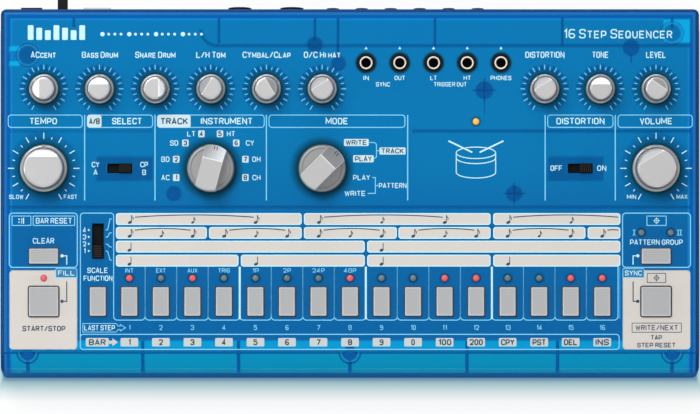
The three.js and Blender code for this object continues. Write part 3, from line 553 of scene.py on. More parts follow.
def new_group(name, inputs, outputs):
    """An empty shader node group whose sockets are numbers, the inputs with their defaults."""
    group = bpy.data.node_groups.new(name, "ShaderNodeTree")
    number = "NodeSocketFloat"
    for label, default in inputs.items():
        socket = group.interface.new_socket(name=label, in_out="INPUT", socket_type=number)
        socket.default_value = default
    for label in outputs:
        group.interface.new_socket(name=label, in_out="OUTPUT", socket_type=number)
    start = group.nodes.new("NodeGroupInput")
    end = group.nodes.new("NodeGroupOutput")
    return group, Wiring(group), start.outputs, end


def new_material(name, shown):
    """A material with its wiring and its shader."""
    material = bpy.data.materials.new(name)
    material.use_nodes = True
    material.diffuse_color = (*shown[:3], 1)
    wires = Wiring(material.node_tree)
    return material, wires, wires.nodes["Principled BSDF"]


def moulded_grain():
    """The fine grain of moulded plastic, built once: noise on Object coordinates, put out as a
    height for a bump and as a small change of roughness and shade."""
    name = "Moulded grain"
    if name in bpy.data.node_groups:
        return bpy.data.node_groups[name]
    group, wires, start, end = new_group(
        name, {"Scale": 1400.0, "Roughness": 0.4, "Spread": 0.06, "Shade": 0.03},
        ("Height", "Roughness", "Shade"))
    place = wires.new("TexCoord").outputs["Object"]
    fine = wires.new("TexNoise", {"Vector": place, "Scale": start["Scale"], "Detail": 2.0})
    wide = wires.new("TexNoise", {"Vector": place, "Scale": 60.0, "Detail": 3.0})
    centred = wires.reckon("SUBTRACT", wide.outputs["Fac"], 0.5)
    rough = wires.reckon("MULTIPLY_ADD", centred, start["Spread"], start["Roughness"])
    shade = wires.reckon("MULTIPLY_ADD", centred, start["Shade"], 1.0)
    wires.fill(end, {"Height": fine.outputs["Fac"], "Roughness": rough, "Shade": shade})
    return group


def edge_wear():
    """A mask of the edges where handling has polished a piece and where a painted highlight stands
    in
    for the light they catch, built once: how far the pointiness of the surface lies over flat,
    broken up by noise on Object coordinates."""
    name = "Edge wear"
    if name in bpy.data.node_groups:
        return bpy.data.node_groups[name]
    group, wires, start, end = new_group(name, {"Amount": 0.5, "Scale": 500.0}, ["Mask"])
    pointed = wires.share(wires.new("NewGeometry").outputs["Pointiness"], 0.51, 0.6)
    place = wires.new("TexCoord").outputs["Object"]
    noise = wires.new("TexNoise", {"Vector": place, "Scale": start["Scale"]})
    broken = wires.reckon("MULTIPLY", pointed, noise.outputs["Fac"])
    wires.fill(end, {"Mask": wires.reckon("MULTIPLY", broken, start["Amount"], clamp=True)})
    return group


def give_grain(wires, shader, grainy, strength):
    """Gives a shader the roughness of the moulded grain, and its height as a bump."""
    bump = wires.new("Bump", {"Strength": strength, "Distance": GRAIN_DEPTH,
                              "Height": grainy["Height"]})
    wires.fill(shader, {"Roughness": grainy["Roughness"], "Normal": bump.outputs["Normal"]})


def plastic(name, tone, roughness=0.4, grain=0.02, scale=1400.0, spread=0.08, shade=0.06,
            metallic=0.0, coat=0.0, wear=0.0, gloss=0.5, second=None, third=None):
    """A moulded or plated finish: one tone, shaded and roughened by the moulded grain, lighter at
    sharp edges, which handling polishes and where a painted highlight stands in for the light
    they catch, with the grain's height as a bump. A second tone takes over as far as the tint kept
    at the points says, and a third one as far as it lies under zero; most pieces use these two
    tones to paint shade and highlights on themselves."""
    if name in bpy.data.materials:
        return bpy.data.materials[name]
    material, wires, shader = new_material(name, tone)
    grainy = wires.effect(moulded_grain(), {"Scale": scale, "Roughness": roughness,
                                            "Spread": spread, "Shade": shade})
    base = wires.new("RGB")
    base.outputs[0].default_value = (*tone[:3], 1)
    tint = wires.scaled(base.outputs[0], grainy["Shade"])
    if second:
        own = wires.attribute("tint")
        tint = wires.mix(own, tint, (*second[:3], 1))
        if third:
            tint = wires.mix(wires.reckon("MULTIPLY", own, -1), tint, (*third[:3], 1))
    if wear:
        lighter_edges = wires.effect(edge_wear(), {"Amount": wear})
        light = tuple(min(part * 1.5 + 0.05, 1.0) for part in tone[:3]) + (1,)
        tint = wires.mix(lighter_edges["Mask"], tint, light)
    give_grain(wires, shader, grainy, grain)
    wires.fill(shader, {"Base Color": tint, "Metallic": metallic, "Coat Weight": coat,
                        "Specular IOR Level": gloss})
    return material


def lamp_lens(name, tone, foot, glow):
    """An indicator's lens: a clear tinted dome with a painted shade round its foot, which glows
    when lit.
    """
    material = plastic(name, tone, roughness=0.25, grain=0.01, coat=0.1, gloss=0.2, second=foot)
    shader = material.node_tree.nodes["Principled BSDF"]
    shader.inputs["Emission Color"].default_value = (*tone[:3], 1)
    shader.inputs["Emission Strength"].default_value = glow
    return material


def socket_finishes():
    """Black plastic and plated metal of the sockets."""
    black = plastic("socket_black", tones()["black"], roughness=0.5, grain=0.05, gloss=0.12)
    plated = plastic("plated_metal", srgb(205, 204, 200), roughness=0.22, grain=0.01,
                     metallic=0.9, spread=0.05)
    return black, plated


def tones():
    """The drum machine's colours, each as red, green, blue."""
    group = bpy.context.scene.drum_colours
    return {key: tuple(getattr(group, key)) for key in group.bl_rna.properties.keys()
            if key not in ("rna_type", "name")}


def case_finish():
    """Clear blue plastic. Its tone follows the place on the panel: the bevel and the edges past
    the boards let more light through and are brighter, and bands along the outer walls are
    darker, a painted shade on the rounded edges with painted highlights along them. All masks
    are ramps on Object coordinates."""
    name = "clear_blue_case"
    if name in bpy.data.materials:
        return bpy.data.materials[name]
    s = case_sizes()
    tone = {key: (*shown, 1) for key, shown in tones().items()}
    material, wires, shader = new_material(name, tone["case"])
    place = wires.new("TexCoord").outputs["Object"]
    axes = wires.new("SeparateXYZ", {0: place}).outputs

    def along(axis, low, high):
        """A share along an axis that runs softly from 0 at low to 1 at high, in millimetres."""
        return wires.share(axes[axis], low * MM, high * MM, smooth=True)

    drift = wires.new("TexNoise", {"Vector": place, "Scale": 9.0, "Detail": 1.5})
    shown = wires.mix(along("Y", 10, -25), tone["case"], tone["shade"])
    darker = wires.mix(0.5, shown, tone["inner"])
    shown = wires.mix(wires.reckon("MULTIPLY", drift.outputs["Fac"], 0.35), shown, darker)
    crease = s["crease_y"]
    strip = wires.reckon("MULTIPLY", along("Y", crease + 5.6, crease + 4.2),
                         along("Y", crease + 0.6, crease + 1.3))
    shown = wires.mix(wires.reckon("MULTIPLY", strip, 0.85), shown, tone["bright"])
    shown = wires.mix(along("Y", crease + 0.2, crease - 0.1), shown, tone["bevel"])
    to_side = wires.reckon("SUBTRACT", s["half_width"] * MM, wires.reckon("ABSOLUTE", axes["X"]))
    to_rear = wires.reckon("SUBTRACT", s["rear_y"] * MM, axes["Y"])
    margin = wires.share(wires.reckon("MINIMUM", to_side, to_rear), 0.0, CASE_MARGIN * MM)
    # Painted shade (deep) and painted highlights (border, glint) along the rounded outer edges,
    # with the shelf's blue between them
    stops = [(0.0, "deep", 1), (1.35, "deep", 1), (1.9, "border", 1), (2.5, "border", 1),
             (3.0, "shelf", 1), (4.1, "shelf", 1), (4.45, "glint", 1), (4.95, "glint", 1),
             (5.3, "glint", 0)]
    edge_light_and_shade = wires.colours(margin, [(distance / CASE_MARGIN, (*tone[key][:3], share))
                                     for distance, key, share in stops])
    shown = wires.mix(edge_light_and_shade["Alpha"], shown, edge_light_and_shade["Color"])
    shown = wires.mix(along("Z", 25.8, 25.2), shown, tone["low"])
    grainy = wires.effect(moulded_grain(), {"Scale": 900.0, "Roughness": 0.2, "Spread": 0.06,
                                            "Shade": 0.04})
    give_grain(wires, shader, grainy, 0.02)
    wires.fill(shader, {
        "Base Color": wires.scaled(shown, grainy["Shade"]), "IOR": 1.49,
        "Coat Weight": wires.reckon("MULTIPLY", along("Z", 26.0, 28.0), 0.06),
        "Coat Roughness": 0.12, "Specular IOR Level": 0.0, "Transmission Weight": 0.1})
    return material


# Controls


def turned_by(outline, centre, degrees):
    """Points given as sideways, forwards and height from a knob's axis, turned clockwise by
    degrees from straight to the rear and moved to the knob's centre on the panel."""
    side, ahead, height = np.asarray(outline, float).reshape(-1, 3).T
    turn = math.radians(degrees)
    u = centre[0] + side * math.cos(turn) + ahead * math.sin(turn)
    v = centre[1] - side * math.sin(turn) + ahead * math.cos(turn)
    return np.stack([u, v, height], 1)


def knob_points(radii, heights, corner, shares):
    """One ring of a knob, as sideways, ahead and height. Its columns stand at shares of the angle
    corner to both sides of the pointer, which is the facet's arc, and evenly over the rest, so
    that the facet's chord always ends on a column."""
    rest = np.linspace(corner, 2 * math.pi - corner, 33)[1:-1]
    angles = np.concatenate([shares * corner, rest])
    radii = np.broadcast_to(radii, angles.shape)
    heights = np.broadcast_to(heights, angles.shape)
    return np.stack([np.sin(angles) * radii, np.cos(angles) * radii, heights], 1)


def plate(points, tints, order, by, own):
    """Covers an outline of a form, point numbers clockwise from above, with a flat face that
    starts a little inside it and has tints of its own. Each point moves in along the mean of its
    two sides' normals, and up or down to stay in the outline's plane."""
    loop = points[order]
    sides = np.roll(loop, -1, 0)[:, :2] - loop[:, :2]
    normals = np.stack([sides[:, 1], -sides[:, 0]], 1) / np.linalg.norm(sides, axis=1)[:, None]
    before = np.roll(normals, 1, 0)
    joint = 1 + (normals * before).sum(1)[:, None]
    flat = loop[:, :2] + by * (normals + before) / np.maximum(joint, 0.35)
    ones = np.ones((len(loop), 1))
    lean = np.linalg.lstsq(np.hstack([loop[:, :2], ones]), loop[:, 2], rcond=None)[0]
    heights = np.hstack([flat, ones]) @ lean
    inner = np.arange(len(order)) + len(points)
    border = np.stack([order, inner, np.roll(inner, -1), np.roll(order, -1)], 1)
    points = np.vstack([points, np.hstack([flat, heights[:, None]])])
    return points, np.append(tints, np.broadcast_to(own, len(order))), [*border, inner[::-1]]


def knob_shape(centre, degrees, skirt, groove, cap, facet, facet_shading):
    """A knob: a shaft, a chamfered skirt with a pointer notch, a ring groove and a cap whose top
    is flat up to the facet's chord and slopes down past it, all edges rounded. The chord carries
    a painted highlight, and the facet the painted shade or highlight that is set for its knob."""
    s = control_sizes()
    top, lift = s["knob_height"], s["lift"]
    skirt_top, chamfer = s["skirt_height"], s["skirt_chamfer"]
    base, shoulder = skirt_top - s["groove_depth"], skirt_top - chamfer
    slope = math.tan(math.radians(KNOB_SLOPE))
    facet_angle = math.acos(facet / cap)
    notch = NOTCH / skirt / facet_angle
    shares = np.sort(np.concatenate([np.linspace(-1, 1, 17),
                                     np.array([-1.15, -1, 1, 1.15]) * notch]))
    inside, total = len(shares), len(shares) + 31
    notched = np.zeros(total, bool)
    notched[:inside] = np.abs(shares) <= notch * 1.01

    def ring(radius, height, corner=facet_angle):
        return knob_points(radius, height, corner, shares)

    rings = [ring(SHAFT, SHAFT_FOOT), ring(SHAFT, lift), ring(skirt - 0.25, lift),
             ring(skirt, lift + 0.25), ring(skirt, np.where(notched, base, shoulder))]
    for turn in np.radians([30, 60, 90]):
        rings.append(ring(skirt - chamfer * (1 - math.cos(turn)) * 0.9,
                          np.where(notched, base, shoulder + chamfer * math.sin(turn))))
    rings += [ring(groove, np.where(notched, base, skirt_top)), ring(groove - 0.08, base),
              ring(cap, base)]
    edge, draft = 0.75, 0.2
    for turn in np.radians([0, 22.5, 45, 67.5, 90]):
        radius = cap - draft - edge * (1 - math.cos(turn))
        flat = ring(radius, top, math.acos(facet / radius))
        surface = np.minimum(top, top - (flat[:, 1] - facet) * slope)
        drop = edge * (1 - math.sin(turn)) * np.where(surface < top, 0.55, 1.0)
        flat[:, 2] = surface - drop
        rings.append(flat)
    last = (len(rings) - 1) * total
    faces = [*ring_faces(len(rings), total)[:, ::-1], np.arange(total)]
    points = np.array(rings).reshape(-1, 3)
    # Skirt tone at each ring: less on the chamfer, a painted highlight, and more in the groove and
    # at the cap's foot, a painted shade; the chord's two ends get a painted highlight.
    tints = np.repeat([0.5] * 5 + [0.42, 0.36, 0.45, 0.5, 0.62, 0.62, 0.1] + [0.0] * 4, total)
    tints[[last, last + inside - 1]] = -1
    facet_face = np.arange(inside) + last
    top_face = np.concatenate([np.arange(inside - 1, total), [0]]) + last
    for order, own in ((facet_face, facet_shading), (top_face, 0.0)):
        points, tints, more = plate(points, tints, order, 0.32, own)
        faces += more
    return Shape().add(turned_by(points, centre, degrees), faces, tints)


def grip_shape(centre, degrees, left, right):
    """A selector's bar grip. Its outline is an arc at the pointer's end, a straight side, an arc at
    the other end and the other side; both arcs and the half width shrink towards the top, and the
    pointer's end slopes down from the facet's chord. The slope's painted shade runs from left to
    right, turning to a painted highlight where its tint lies under zero, and the top's edges carry
    a painted highlight, the stronger the more they face the rear, where the light comes from, and
    at the chord's ends."""
    s = control_sizes()
    top, low = s["knob_height"], s["disc_height"] - 0.2
    slope = math.tan(math.radians(GRIP_SLOPE))
    chord = s["grip_facet"]
    arc = np.linspace(-1, 1, 13)
    side = np.linspace(0, 1, 5)
    flank = np.linspace(0, 1, 9)[1:-1]
    blank = np.zeros(len(arc))
    count = len(arc) + len(side) - 1 + len(flank)
    total = 2 * count
    sign = np.repeat([1, -1], count)
    curved = np.tile(np.arange(count) < len(arc), 2)
    lean = np.tile(np.append(arc, np.zeros(count - len(arc))), 2)
    to_end = np.concatenate([blank, 1 - side[1:], -flank, blank, flank - 1, side[:-1]])
    to_chord = np.concatenate([blank, side[1:], 1 - flank, blank, flank, 1 - side[:-1]])

    def outline(height):
        """Sideways and ahead for each point, at a height for each point. An arc's point leans
        to a share of the corner's angle, and a side's point lies between the arc's end and the
        chord."""
        half = s["grip_width"] / 2 + 0.4 * (1 - (height - 2.4) / (top - 2.4))
        reach = np.interp(height, [0.6, 9.6, top], s["selector"] - np.array([0.0, 0.15, 0.55]))
        corner = np.arcsin(half / reach)
        sides = to_end * reach * np.cos(corner) + to_chord * chord
        across = sign * np.where(curved, np.sin(lean * corner) * reach, half)
        return across, np.where(curved, sign * np.cos(lean * corner) * reach, sides)

    rim = np.full(total, top)
    for _ in range(6):
        across, ahead = outline(rim)
        rim = np.minimum(top, top - (ahead - chord) * slope)
        rim = np.maximum(rim, low + 0.3)
    rings = []
    for share in (0, 0.3, 0.587, 0.8, 1):
        height = low + (rim - low) * share
        across, ahead = outline(height)
        rings.append(np.stack([across, ahead, height], 1))
    last = (len(rings) - 1) * total
    first_chord = len(arc) + len(side) - 2
    second_chord = total - len(side) + 1
    facet_face = np.concatenate([np.arange(second_chord, total), np.arange(first_chord + 1)])
    top_face = np.arange(first_chord, second_chord + 1)
    faces = [*ring_faces(len(rings), total)[:, ::-1], np.arange(total)]
    points = np.array(rings).reshape(-1, 3)
    tints = np.zeros(len(points))
    turn = math.radians(degrees)
    # Painted highlight on the top's edges, by the way each of them faces the light.
    facing = np.sign(across) * math.sin(math.radians(45) - turn)
    at_back = np.hypot(across, ahead) > s["selector"] - 0.75
    facing = np.where(at_back & (ahead < 0), -math.cos(turn), facing)
    tints[last:] = -np.clip(0.35 + 0.9 * facing, 0, 1)
    tints[[last + first_chord, last + second_chord]] = -1
    slope_shading = left + (right - left) * (across[facet_face] / s["grip_width"] + 0.5)
    for order, own in ((facet_face, slope_shading), (top_face, 0.0)):
        points, tints, more = plate(points, tints, order + last, 0.3, own)
        faces += more
    return Shape().add(turned_by(points, centre, degrees), faces, tints)


def selector_disc(centre, degrees):
    """A selector's disc: a shaft and a disc with a rounded rim and a shallow step inside it. The
    rim and the step take the darker skirt tone as painted shade.
    """
    s = control_sizes()
    radius, top, lift = s["selector"], s["disc_height"], s["lift"]
    turn = np.radians(np.linspace(0, 90, 5))
    rim = [(radius - 1 + math.cos(t), top - 1 + math.sin(t)) for t in turn]
    profile = [(SHAFT, SHAFT_FOOT), (SHAFT, lift), (radius - 0.3, lift), (radius, lift + 0.3),
               *rim, (radius - 1.5, top), (radius - 1.62, top - 0.25), (radius - 2.2, top - 0.25)]
    tint = [0.8] * 5 + [0.7, 0.55, 0.35, 0.15, 0.05, 0.4, 0.0]
    shape = turned(Shape(), profile, sides=72, tint=tint)
    return shape.move(lambda points: turned_by(points, centre, degrees))


def button_shape(centre, width, depth):
    """A spring button: stem, flange under the panel and a cap with softly rounded top edges, whose
    top sinks by a tenth of a millimetre towards its middle. Its side edges carry a painted
    highlight and its rear edge a painted shade."""
    rise = control_sizes()["button_rise"]
    u, v = centre
    flange_foot, flange_top, edge = -4.0, -2.8, 0.5

    def level(w, d, height, inset=0.0):
        corner = max(0.45 - inset * 0.6, 0.15)
        return at_height(about(u, v, w - inset * 2, d - inset * 2, corner, 4), height)

    flange = (width + 2.3, depth + 2.3)
    rings = [level(3, 3, -5.7), level(3, 3, flange_foot), level(*flange, flange_foot),
             level(*flange, flange_top), level(width, depth, flange_top),
             level(width, depth, rise - edge)]
    for turn in np.radians([22.5, 45, 67.5, 90]):
        rings.append(level(width, depth, rise - edge * (1 - math.sin(turn)),
                           edge * (1 - math.cos(turn))))
    rings += [level(width, depth, rise, 0.62), level(width, depth, rise - 0.1, 1.5)]
    edges = np.array(rings)[6:10]
    lit = np.zeros((len(rings), len(rings[0])))
    lit[6:10] = np.where(abs(edges[:, :, 0] - u) > width / 2 - 0.8, -0.35, 0.0)
    lit[6:10] += np.where(edges[:, :, 1] > v + depth / 2 - 0.8, 0.18, 0.0)
    shape = stack(Shape(), rings)
    shape.tints[-1] = lit.reshape(-1)
    return shape


def lever_shape(centre, width, depth, reach, along_u):
    """A slide lever: its tongue, the flange under the panel and a block whose top carries six
    ridges across its travel."""
    rise = control_sizes()["lever_rise"]
    u, v = centre
    flange_foot, flange_top = -3.8, -2.8

    def level(w, d, height):
        return at_height(about(u, v, w, d, 0.35, 3), height)

    flange = (width + reach[0] * 2, depth + reach[1] * 2)
    body = stack(Shape(), [
        level(width, depth, -6.7), level(width, depth, flange_foot), level(*flange, flange_foot),
        level(*flange, flange_top), level(width, depth, flange_top),
        level(width, depth, rise - 0.75), level(width - 0.25, depth - 0.25, rise - 0.6)])
    long, wide = (width, depth) if along_u else (depth, width)
    long -= 0.5
    pitch = long / 6
    for index in range(6):
        middle = -long / 2 + pitch * (index + 0.5)
        place = (u + middle, v) if along_u else (u, v + middle)
        w, d = (pitch * 0.6, wide - 0.4) if along_u else (wide - 0.4, pitch * 0.6)
        rings = [at_height(about(*place, w * k, d * j), height)
                 for k, j, height in ((1, 1, rise - 0.65), (1, 1, rise - 0.15),
                                      (0.6, 0.96, rise))]
        # Each ridge takes the ridge tone towards its top, a painted highlight.
        stack(body, rings, tint=[0.0, 0.3, 1.0])
    return body


def weigh(made):
    """Lets large flat faces keep their own direction where rounded edges join them."""
    made.modifiers.new("Flat faces", "WEIGHTED_NORMAL").keep_sharp = True
    return made


def build_knobs():
    """Eleven knobs in satin silver."""
    s, tone = control_sizes(), tones()
    silver = plastic("knob_silver", tone["knob"], roughness=0.3, grain=0.02, scale=1800.0,
                     shade=0.04, metallic=0.55, wear=0.2, second=tone["skirt"],
                     third=tone["shine"])
    rows = [(name, (u, KNOB_ROW), turn, "small") for name, (u, turn) in SMALL_KNOBS.items()]
    rows += [(name, (u, DIAL_ROW), turn, "big") for name, (u, turn) in BIG_KNOBS.items()]
    for name, centre, turn, size in rows:
        radii = [s[size + part] for part in ("_skirt", "_groove", "_cap", "_facet")]
        shape = knob_shape(centre, turn, *radii, FACET_PAINTED_LIGHT.get(name, 0.0))
        made = weigh(shape.move(on_panel).piece(name + "_cap", silver, smooth=35))
        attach(made, name)
        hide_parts(name)


def build_selectors():
    """Two selectors: a disc, a bar grip on it and two marks on the grip's slope."""
    s, tone = control_sizes(), tones()
    disc_grey = plastic("selector_grey", tuple(part * 0.6 for part in tone["knob"]),
                        roughness=0.4, grain=0.05, scale=1500.0, shade=0.05, metallic=0.4,
                        wear=0.25, second=tone["skirt"])
    grip_grey = plastic("grip_silver", tuple(part * 0.84 for part in tone["knob"]),
                        roughness=0.42, grain=0.03, scale=1800.0, shade=0.05, gloss=0.3,
                        wear=0.3, second=tone["slope"], third=tone["shine"])
    dark = plastic("pointer_mark", tone["black"], roughness=0.6)
    for name, (u, turn, *slope_shadings) in SELECTORS.items():
        centre = (u, DIAL_ROW)
        disc = selector_disc(centre, turn).move(on_panel)
        disc = weigh(disc.piece(name + "_disc", disc_grey, smooth=35))
        grip = grip_shape(centre, turn, *slope_shadings).move(on_panel)
        grip = grip.piece(name + "_grip", grip_grey, smooth=30, bevel=0.2)
        marks = Shape()
        for aside in (-0.6, 0.6):
            low = about(aside, 9.0, 0.34, 1.8)
            slope = math.tan(math.radians(GRIP_SLOPE))
            heights = s["knob_height"] - (low[:, 1] - s["grip_facet"]) * slope
            stack(marks, [at_height(low, heights - 0.3), at_height(low, heights + 0.02)])
        marks.move(lambda points: on_panel(turned_by(points, centre, turn)))
        mark = marks.piece(name + "_mark", dark, smooth=0)
        for made in (disc, grip, mark):
            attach(made, name)
        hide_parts(name)


def button_places():
    """Each button's name with its place on the panel, its width and its depth."""
    places = {f"step_button_{index:02d}": (u, BUTTON_ROW, 6.95, 12.45)
              for index, u in enumerate(STEP_COLUMNS, 1)}
    places["function_button"] = (SCALE_COLUMN, BUTTON_ROW, 6.95, 12.45)
    places["clear_button"] = (-OUTER_COLUMN, SMALL_BUTTON_ROW, 12.55, 6.6)
    places["pattern_group_button"] = (OUTER_COLUMN, SMALL_BUTTON_ROW, 12.55, 6.6)
    places["start_stop_button"] = (-OUTER_COLUMN, BUTTON_ROW, 12.8, 12.8)
    places["write_next_button"] = (OUTER_COLUMN, BUTTON_ROW, 12.8, 12.8)
    return places


def build_buttons():
    """Twenty-one buttons."""
    tone = tones()
    grey = plastic("button_grey", tone["button"], roughness=0.42, grain=0.03, scale=1600.0,
                   shade=0.04, gloss=0.3, second=tone["gap"], third=tone["shine"])
    for name, (u, v, width, depth) in button_places().items():
        shape = button_shape((u, v), width, depth).move(on_panel)
        made = weigh(shape.piece(name + "_cap", grey, smooth=35))
        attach(made, name)
        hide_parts(name)


def build_levers():
    """Three slide levers, each at the place that it has at rest."""
    black = plastic("lever_black", tones()["black"], roughness=0.45, grain=0.05, scale=1500.0,
                    gloss=0.1, second=tones()["ridge"])
    rows = [("sound_select_slider", (2.35 - LEVER_COLUMN, DIAL_ROW), 5.7, 3.7, (5.8, 1.4), True),
            ("distortion_slider", (LEVER_COLUMN + 2.35, DIAL_ROW), 5.7, 3.7, (5.8, 1.4), True),
            ("scale_slider", (SCALE_COLUMN, -26.65), 4.6, 5.7, (1.4, 10.2), False)]
    for name, *sizes in rows:
        made = lever_shape(*sizes).move(on_panel).piece(name + "_lever", black, smooth=25)
        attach(made, name)
        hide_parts(name)


# Lights and panel jacks


def lens(shape, u, v):
    """A domed lens: a straight lower part and a quarter-ellipse of revolution over it. Its foot
    and the lower dome take the lens's darker second tone, a painted shade.
    """
    s = control_sizes()
    radius, rise = s["light_radius"], s["light_rise"]
    turn = np.radians(np.linspace(0, 80, 6))
    dome = [(radius * math.cos(t), 0.1 + (rise - 0.1) * math.sin(t) / math.sin(turn[-1]))
            for t in turn]
    return turned(shape, [(radius, -0.6), (radius, -0.1), *dome], (u, v), 32,
                  tint=[1, 1, 1, 0.95, 0.55, 0.2, 0.05, 0])


def guide(shape, u, v):
    """A light guide: a rod from the control board up to its lens."""
    radius = control_sizes()["light_radius"]
    return turned(shape, [(radius, BOARD_LEVEL), (radius, -0.62)], (u, v), 24)


def light_places():
    """Places of the step lights, the start light, the pair of pattern lights and the power
    light on the panel."""
    step = [(u, LIGHT_ROW) for u in STEP_COLUMNS]
    pattern = [(OUTER_COLUMN + aside, PATTERN_LIGHT_ROW) for aside in (-6.405, 6.405)]
    return step, (-OUTER_COLUMN, LIGHT_ROW), pattern, (55.007, 30.073)


def light_bar(shape, first, last):
    """The bar under the board-side ends of a row of light guides."""
    outline = rounded(first[0], last[0], first[1] - 1.2, first[1] + 1.2)
    return slab(shape, outline, -6.5, -5.0)


def build_lights():
    """Twenty indicator lights: domed lenses, lit or not, on clear guides."""
    tone = tones()
    lit = lamp_lens("lens_lit", tone["lit"], tone["lit_rim"], 0.1)
    unlit = lamp_lens("lens_unlit", tone["unlit"], tone["unlit_rim"], 0.0)
    orange = lamp_lens("lens_status", tone["status"], tone["amber"], 0.25)
    clear = plastic("light_guide", (0.62, 0.66, 0.68), roughness=0.2)
    step, start, pattern, status = light_places()
    on, off, rods, pairs, pair_rods = Shape(), Shape(), Shape(), Shape(), Shape()
    for index, place in enumerate([*step, start]):
        lens(off if index < STEP_COUNT and index not in LIT_STEPS else on, *place)
        guide(rods, *place)
    light_bar(rods, start, step[-1])
    for place in pattern:
        lens(pairs, *place)
        guide(pair_rods, *place)
    light_bar(pair_rods, *pattern)
    power, power_rod = lens(Shape(), *status), guide(Shape(), *status)
    for name, shape, material, node in (
            ("step_lights_on", on, lit, None), ("step_lights_off", off, unlit, None),
            ("step_light_guides", rods, clear, "step_light_bar"),
            ("pattern_lights", pairs, unlit, None),
            ("pattern_light_guides", pair_rods, clear, "pattern_light_bar"),
            ("power_light", power, orange, None),
            ("power_light_guide", power_rod, clear, "status_light")):
        made = shape.move(on_panel).piece(name, material, smooth=40)
        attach(made, "root")
        if node:
            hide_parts(node)


PANEL_JACKS = ("sync_in_jack", "sync_out_jack", "low_tom_trigger_jack", "high_tom_trigger_jack",
               "phones_jack")


def build_panel_jacks():
    """Five jack sockets: a black body with a low collar, a plated ring and a dark bore."""
    s = control_sizes()
    radius, ring = s["jack_radius"], s["jack_ring"]
    black = socket_finishes()[0]
    plated = plastic("ring_metal", srgb(226, 224, 216), roughness=0.45, grain=0.01,
                     metallic=0.25, spread=0.05)
    hole, bore, ring_foot, hole_foot = 1.9, 2.15, -0.6, -8.1
    for node, column in zip(PANEL_JACKS, JACK_COLUMNS):
        centre = (column, JACK_ROW)
        body = tube(Shape(), [(radius, BOARD_LEVEL), (radius, -0.1), (radius - 0.12, 0.05),
                              (ring - 0.05, 0.12), (ring - 0.05, ring_foot), (hole, ring_foot),
                              (hole, hole_foot), (0.02, hole_foot), (0.02, BOARD_LEVEL)], centre)
        turn = np.radians(np.linspace(0, 180, 9))
        middle, half = (ring + bore) / 2, (ring - bore) / 2
        arch = [(middle + half * math.cos(t), 0.5 + 0.2 * math.sin(t)) for t in turn]
        collar = tube(Shape(), [(ring, ring_foot), *arch, (bore, ring_foot)], centre, 64)
        body = body.move(on_panel).piece(node + "_body", black, smooth=35)
        collar = collar.move(on_panel).piece(node + "_ring", plated, smooth=35)
        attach(body, "root")
        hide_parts(node)
        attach(collar, "root")


# Posts, ribs and shades seen through the shell


def on_case(points):
    """Turns u, v, w into x, y, z over the case's top: y follows v along the panel's slope, and z is
    the top surface's height there, panel or bevel, raised by w and on the bevel by a little
    more."""
    s = case_sizes()
    u, v, w = np.asarray(points, float).reshape(-1, 3).T
    y = v * math.cos(s["tilt"]) - s["middle_y"]
    w = w + np.where(v < -s["crease_v"] - 1, 0.03, 0.0)
    return np.stack([u, y, top_at(y) + w], 1)


class Shade(Shape):
    """A thin layer over the shell whose strength, kept at each point, fades it in and out."""

    def __init__(self):
        super().__init__()
        self.strength = []

    def patch(self, grid, strength, hole=None):
        """A grid of rows of u and v, each point with its strength. The cell at hole, a row and a
        column, is left out."""
        grid = np.asarray(grid, float)
        rows, columns = grid.shape[:2]
        index = np.arange(rows * columns).reshape(rows, columns)
        faces = np.stack([index[:-1, :-1], index[:-1, 1:], index[1:, 1:], index[1:, :-1]], 2)
        kept = np.ones(faces.shape[:2], bool)
        if hole:
            kept[hole] = False
        self.add(at_height(grid.reshape(-1, 2), 0.008), faces[kept])
        self.strength.append(np.broadcast_to(strength, (rows, columns)).reshape(-1))
        return self

    def round(self, u, v, profile, first=0.0, last=2 * math.pi, sides=40):
        """Rings about a centre from a profile of radius and strength, over a range of angles."""
        turn = np.linspace(first, last, sides + 1)
        radii = np.array([radius for radius, _ in profile])[:, None]
        grid = np.stack([u + radii * np.cos(turn), v + radii * np.sin(turn)], 2)[:, ::-1]
        return self.patch(grid, np.array([[k] for _, k in profile]))

    def soft_box(self, u0, u1, v0, v1, fade, strength=1.0, fade_v=None):
        """A rectangle that fades out over a margin inside each side."""
        fade_v = fade if fade_v is None else fade_v
        us = np.array([u0, u0 + fade, u1 - fade, u1])
        vs = np.array([v0, v0 + fade_v, v1 - fade_v, v1])
        grid = np.stack(np.meshgrid(us, vs), 2)
        level = np.zeros((4, 4))
        level[1:3, 1:3] = strength
        return self.patch(grid, level)

    def rib(self, u, half, v0, v1, fade, strength, fade_v=None):
        """A soft box about a column, half its width to either side."""
        return self.soft_box(u - half, u + half, v0, v1, fade, strength, fade_v)

    def spikes(self, u, v, degrees, first, last, width, strength):
        """Thin radial marks at angles from straight up, solid along their middle lines and clear
        at their sides."""
        turn = np.radians(degrees)
        along = np.stack([np.sin(turn), np.cos(turn)], 1)
        aside = np.stack([along[:, 1], -along[:, 0]], 1) * width / 2
        for way, side, level in zip(along, aside, strength):
            middle = np.array([way * last, way * first]) + (u, v)
            grid = np.stack([middle - side, middle, middle + side], 1)
            self.patch(grid, np.array([[0, level, 0]]))

    def piece_of(self, name, tone, rise):
        """Makes the piece, raised over the case: tone at the share that the strength attribute
        gives, else clear."""
        material = plastic("seen_" + name, tone, roughness=0.35, grain=0.01, gloss=0.06)
        wires = Wiring(material.node_tree)
        wires.fill(wires.nodes["Principled BSDF"], {"Alpha": wires.attribute("strength")})
        raised = self.move(lambda points: on_case(points) + (0, 0, rise))
        made = raised.piece("seen_" + name, material, smooth=0)
        keep_at_points(made.data, "strength", np.concatenate(self.strength))
        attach(made, "root")


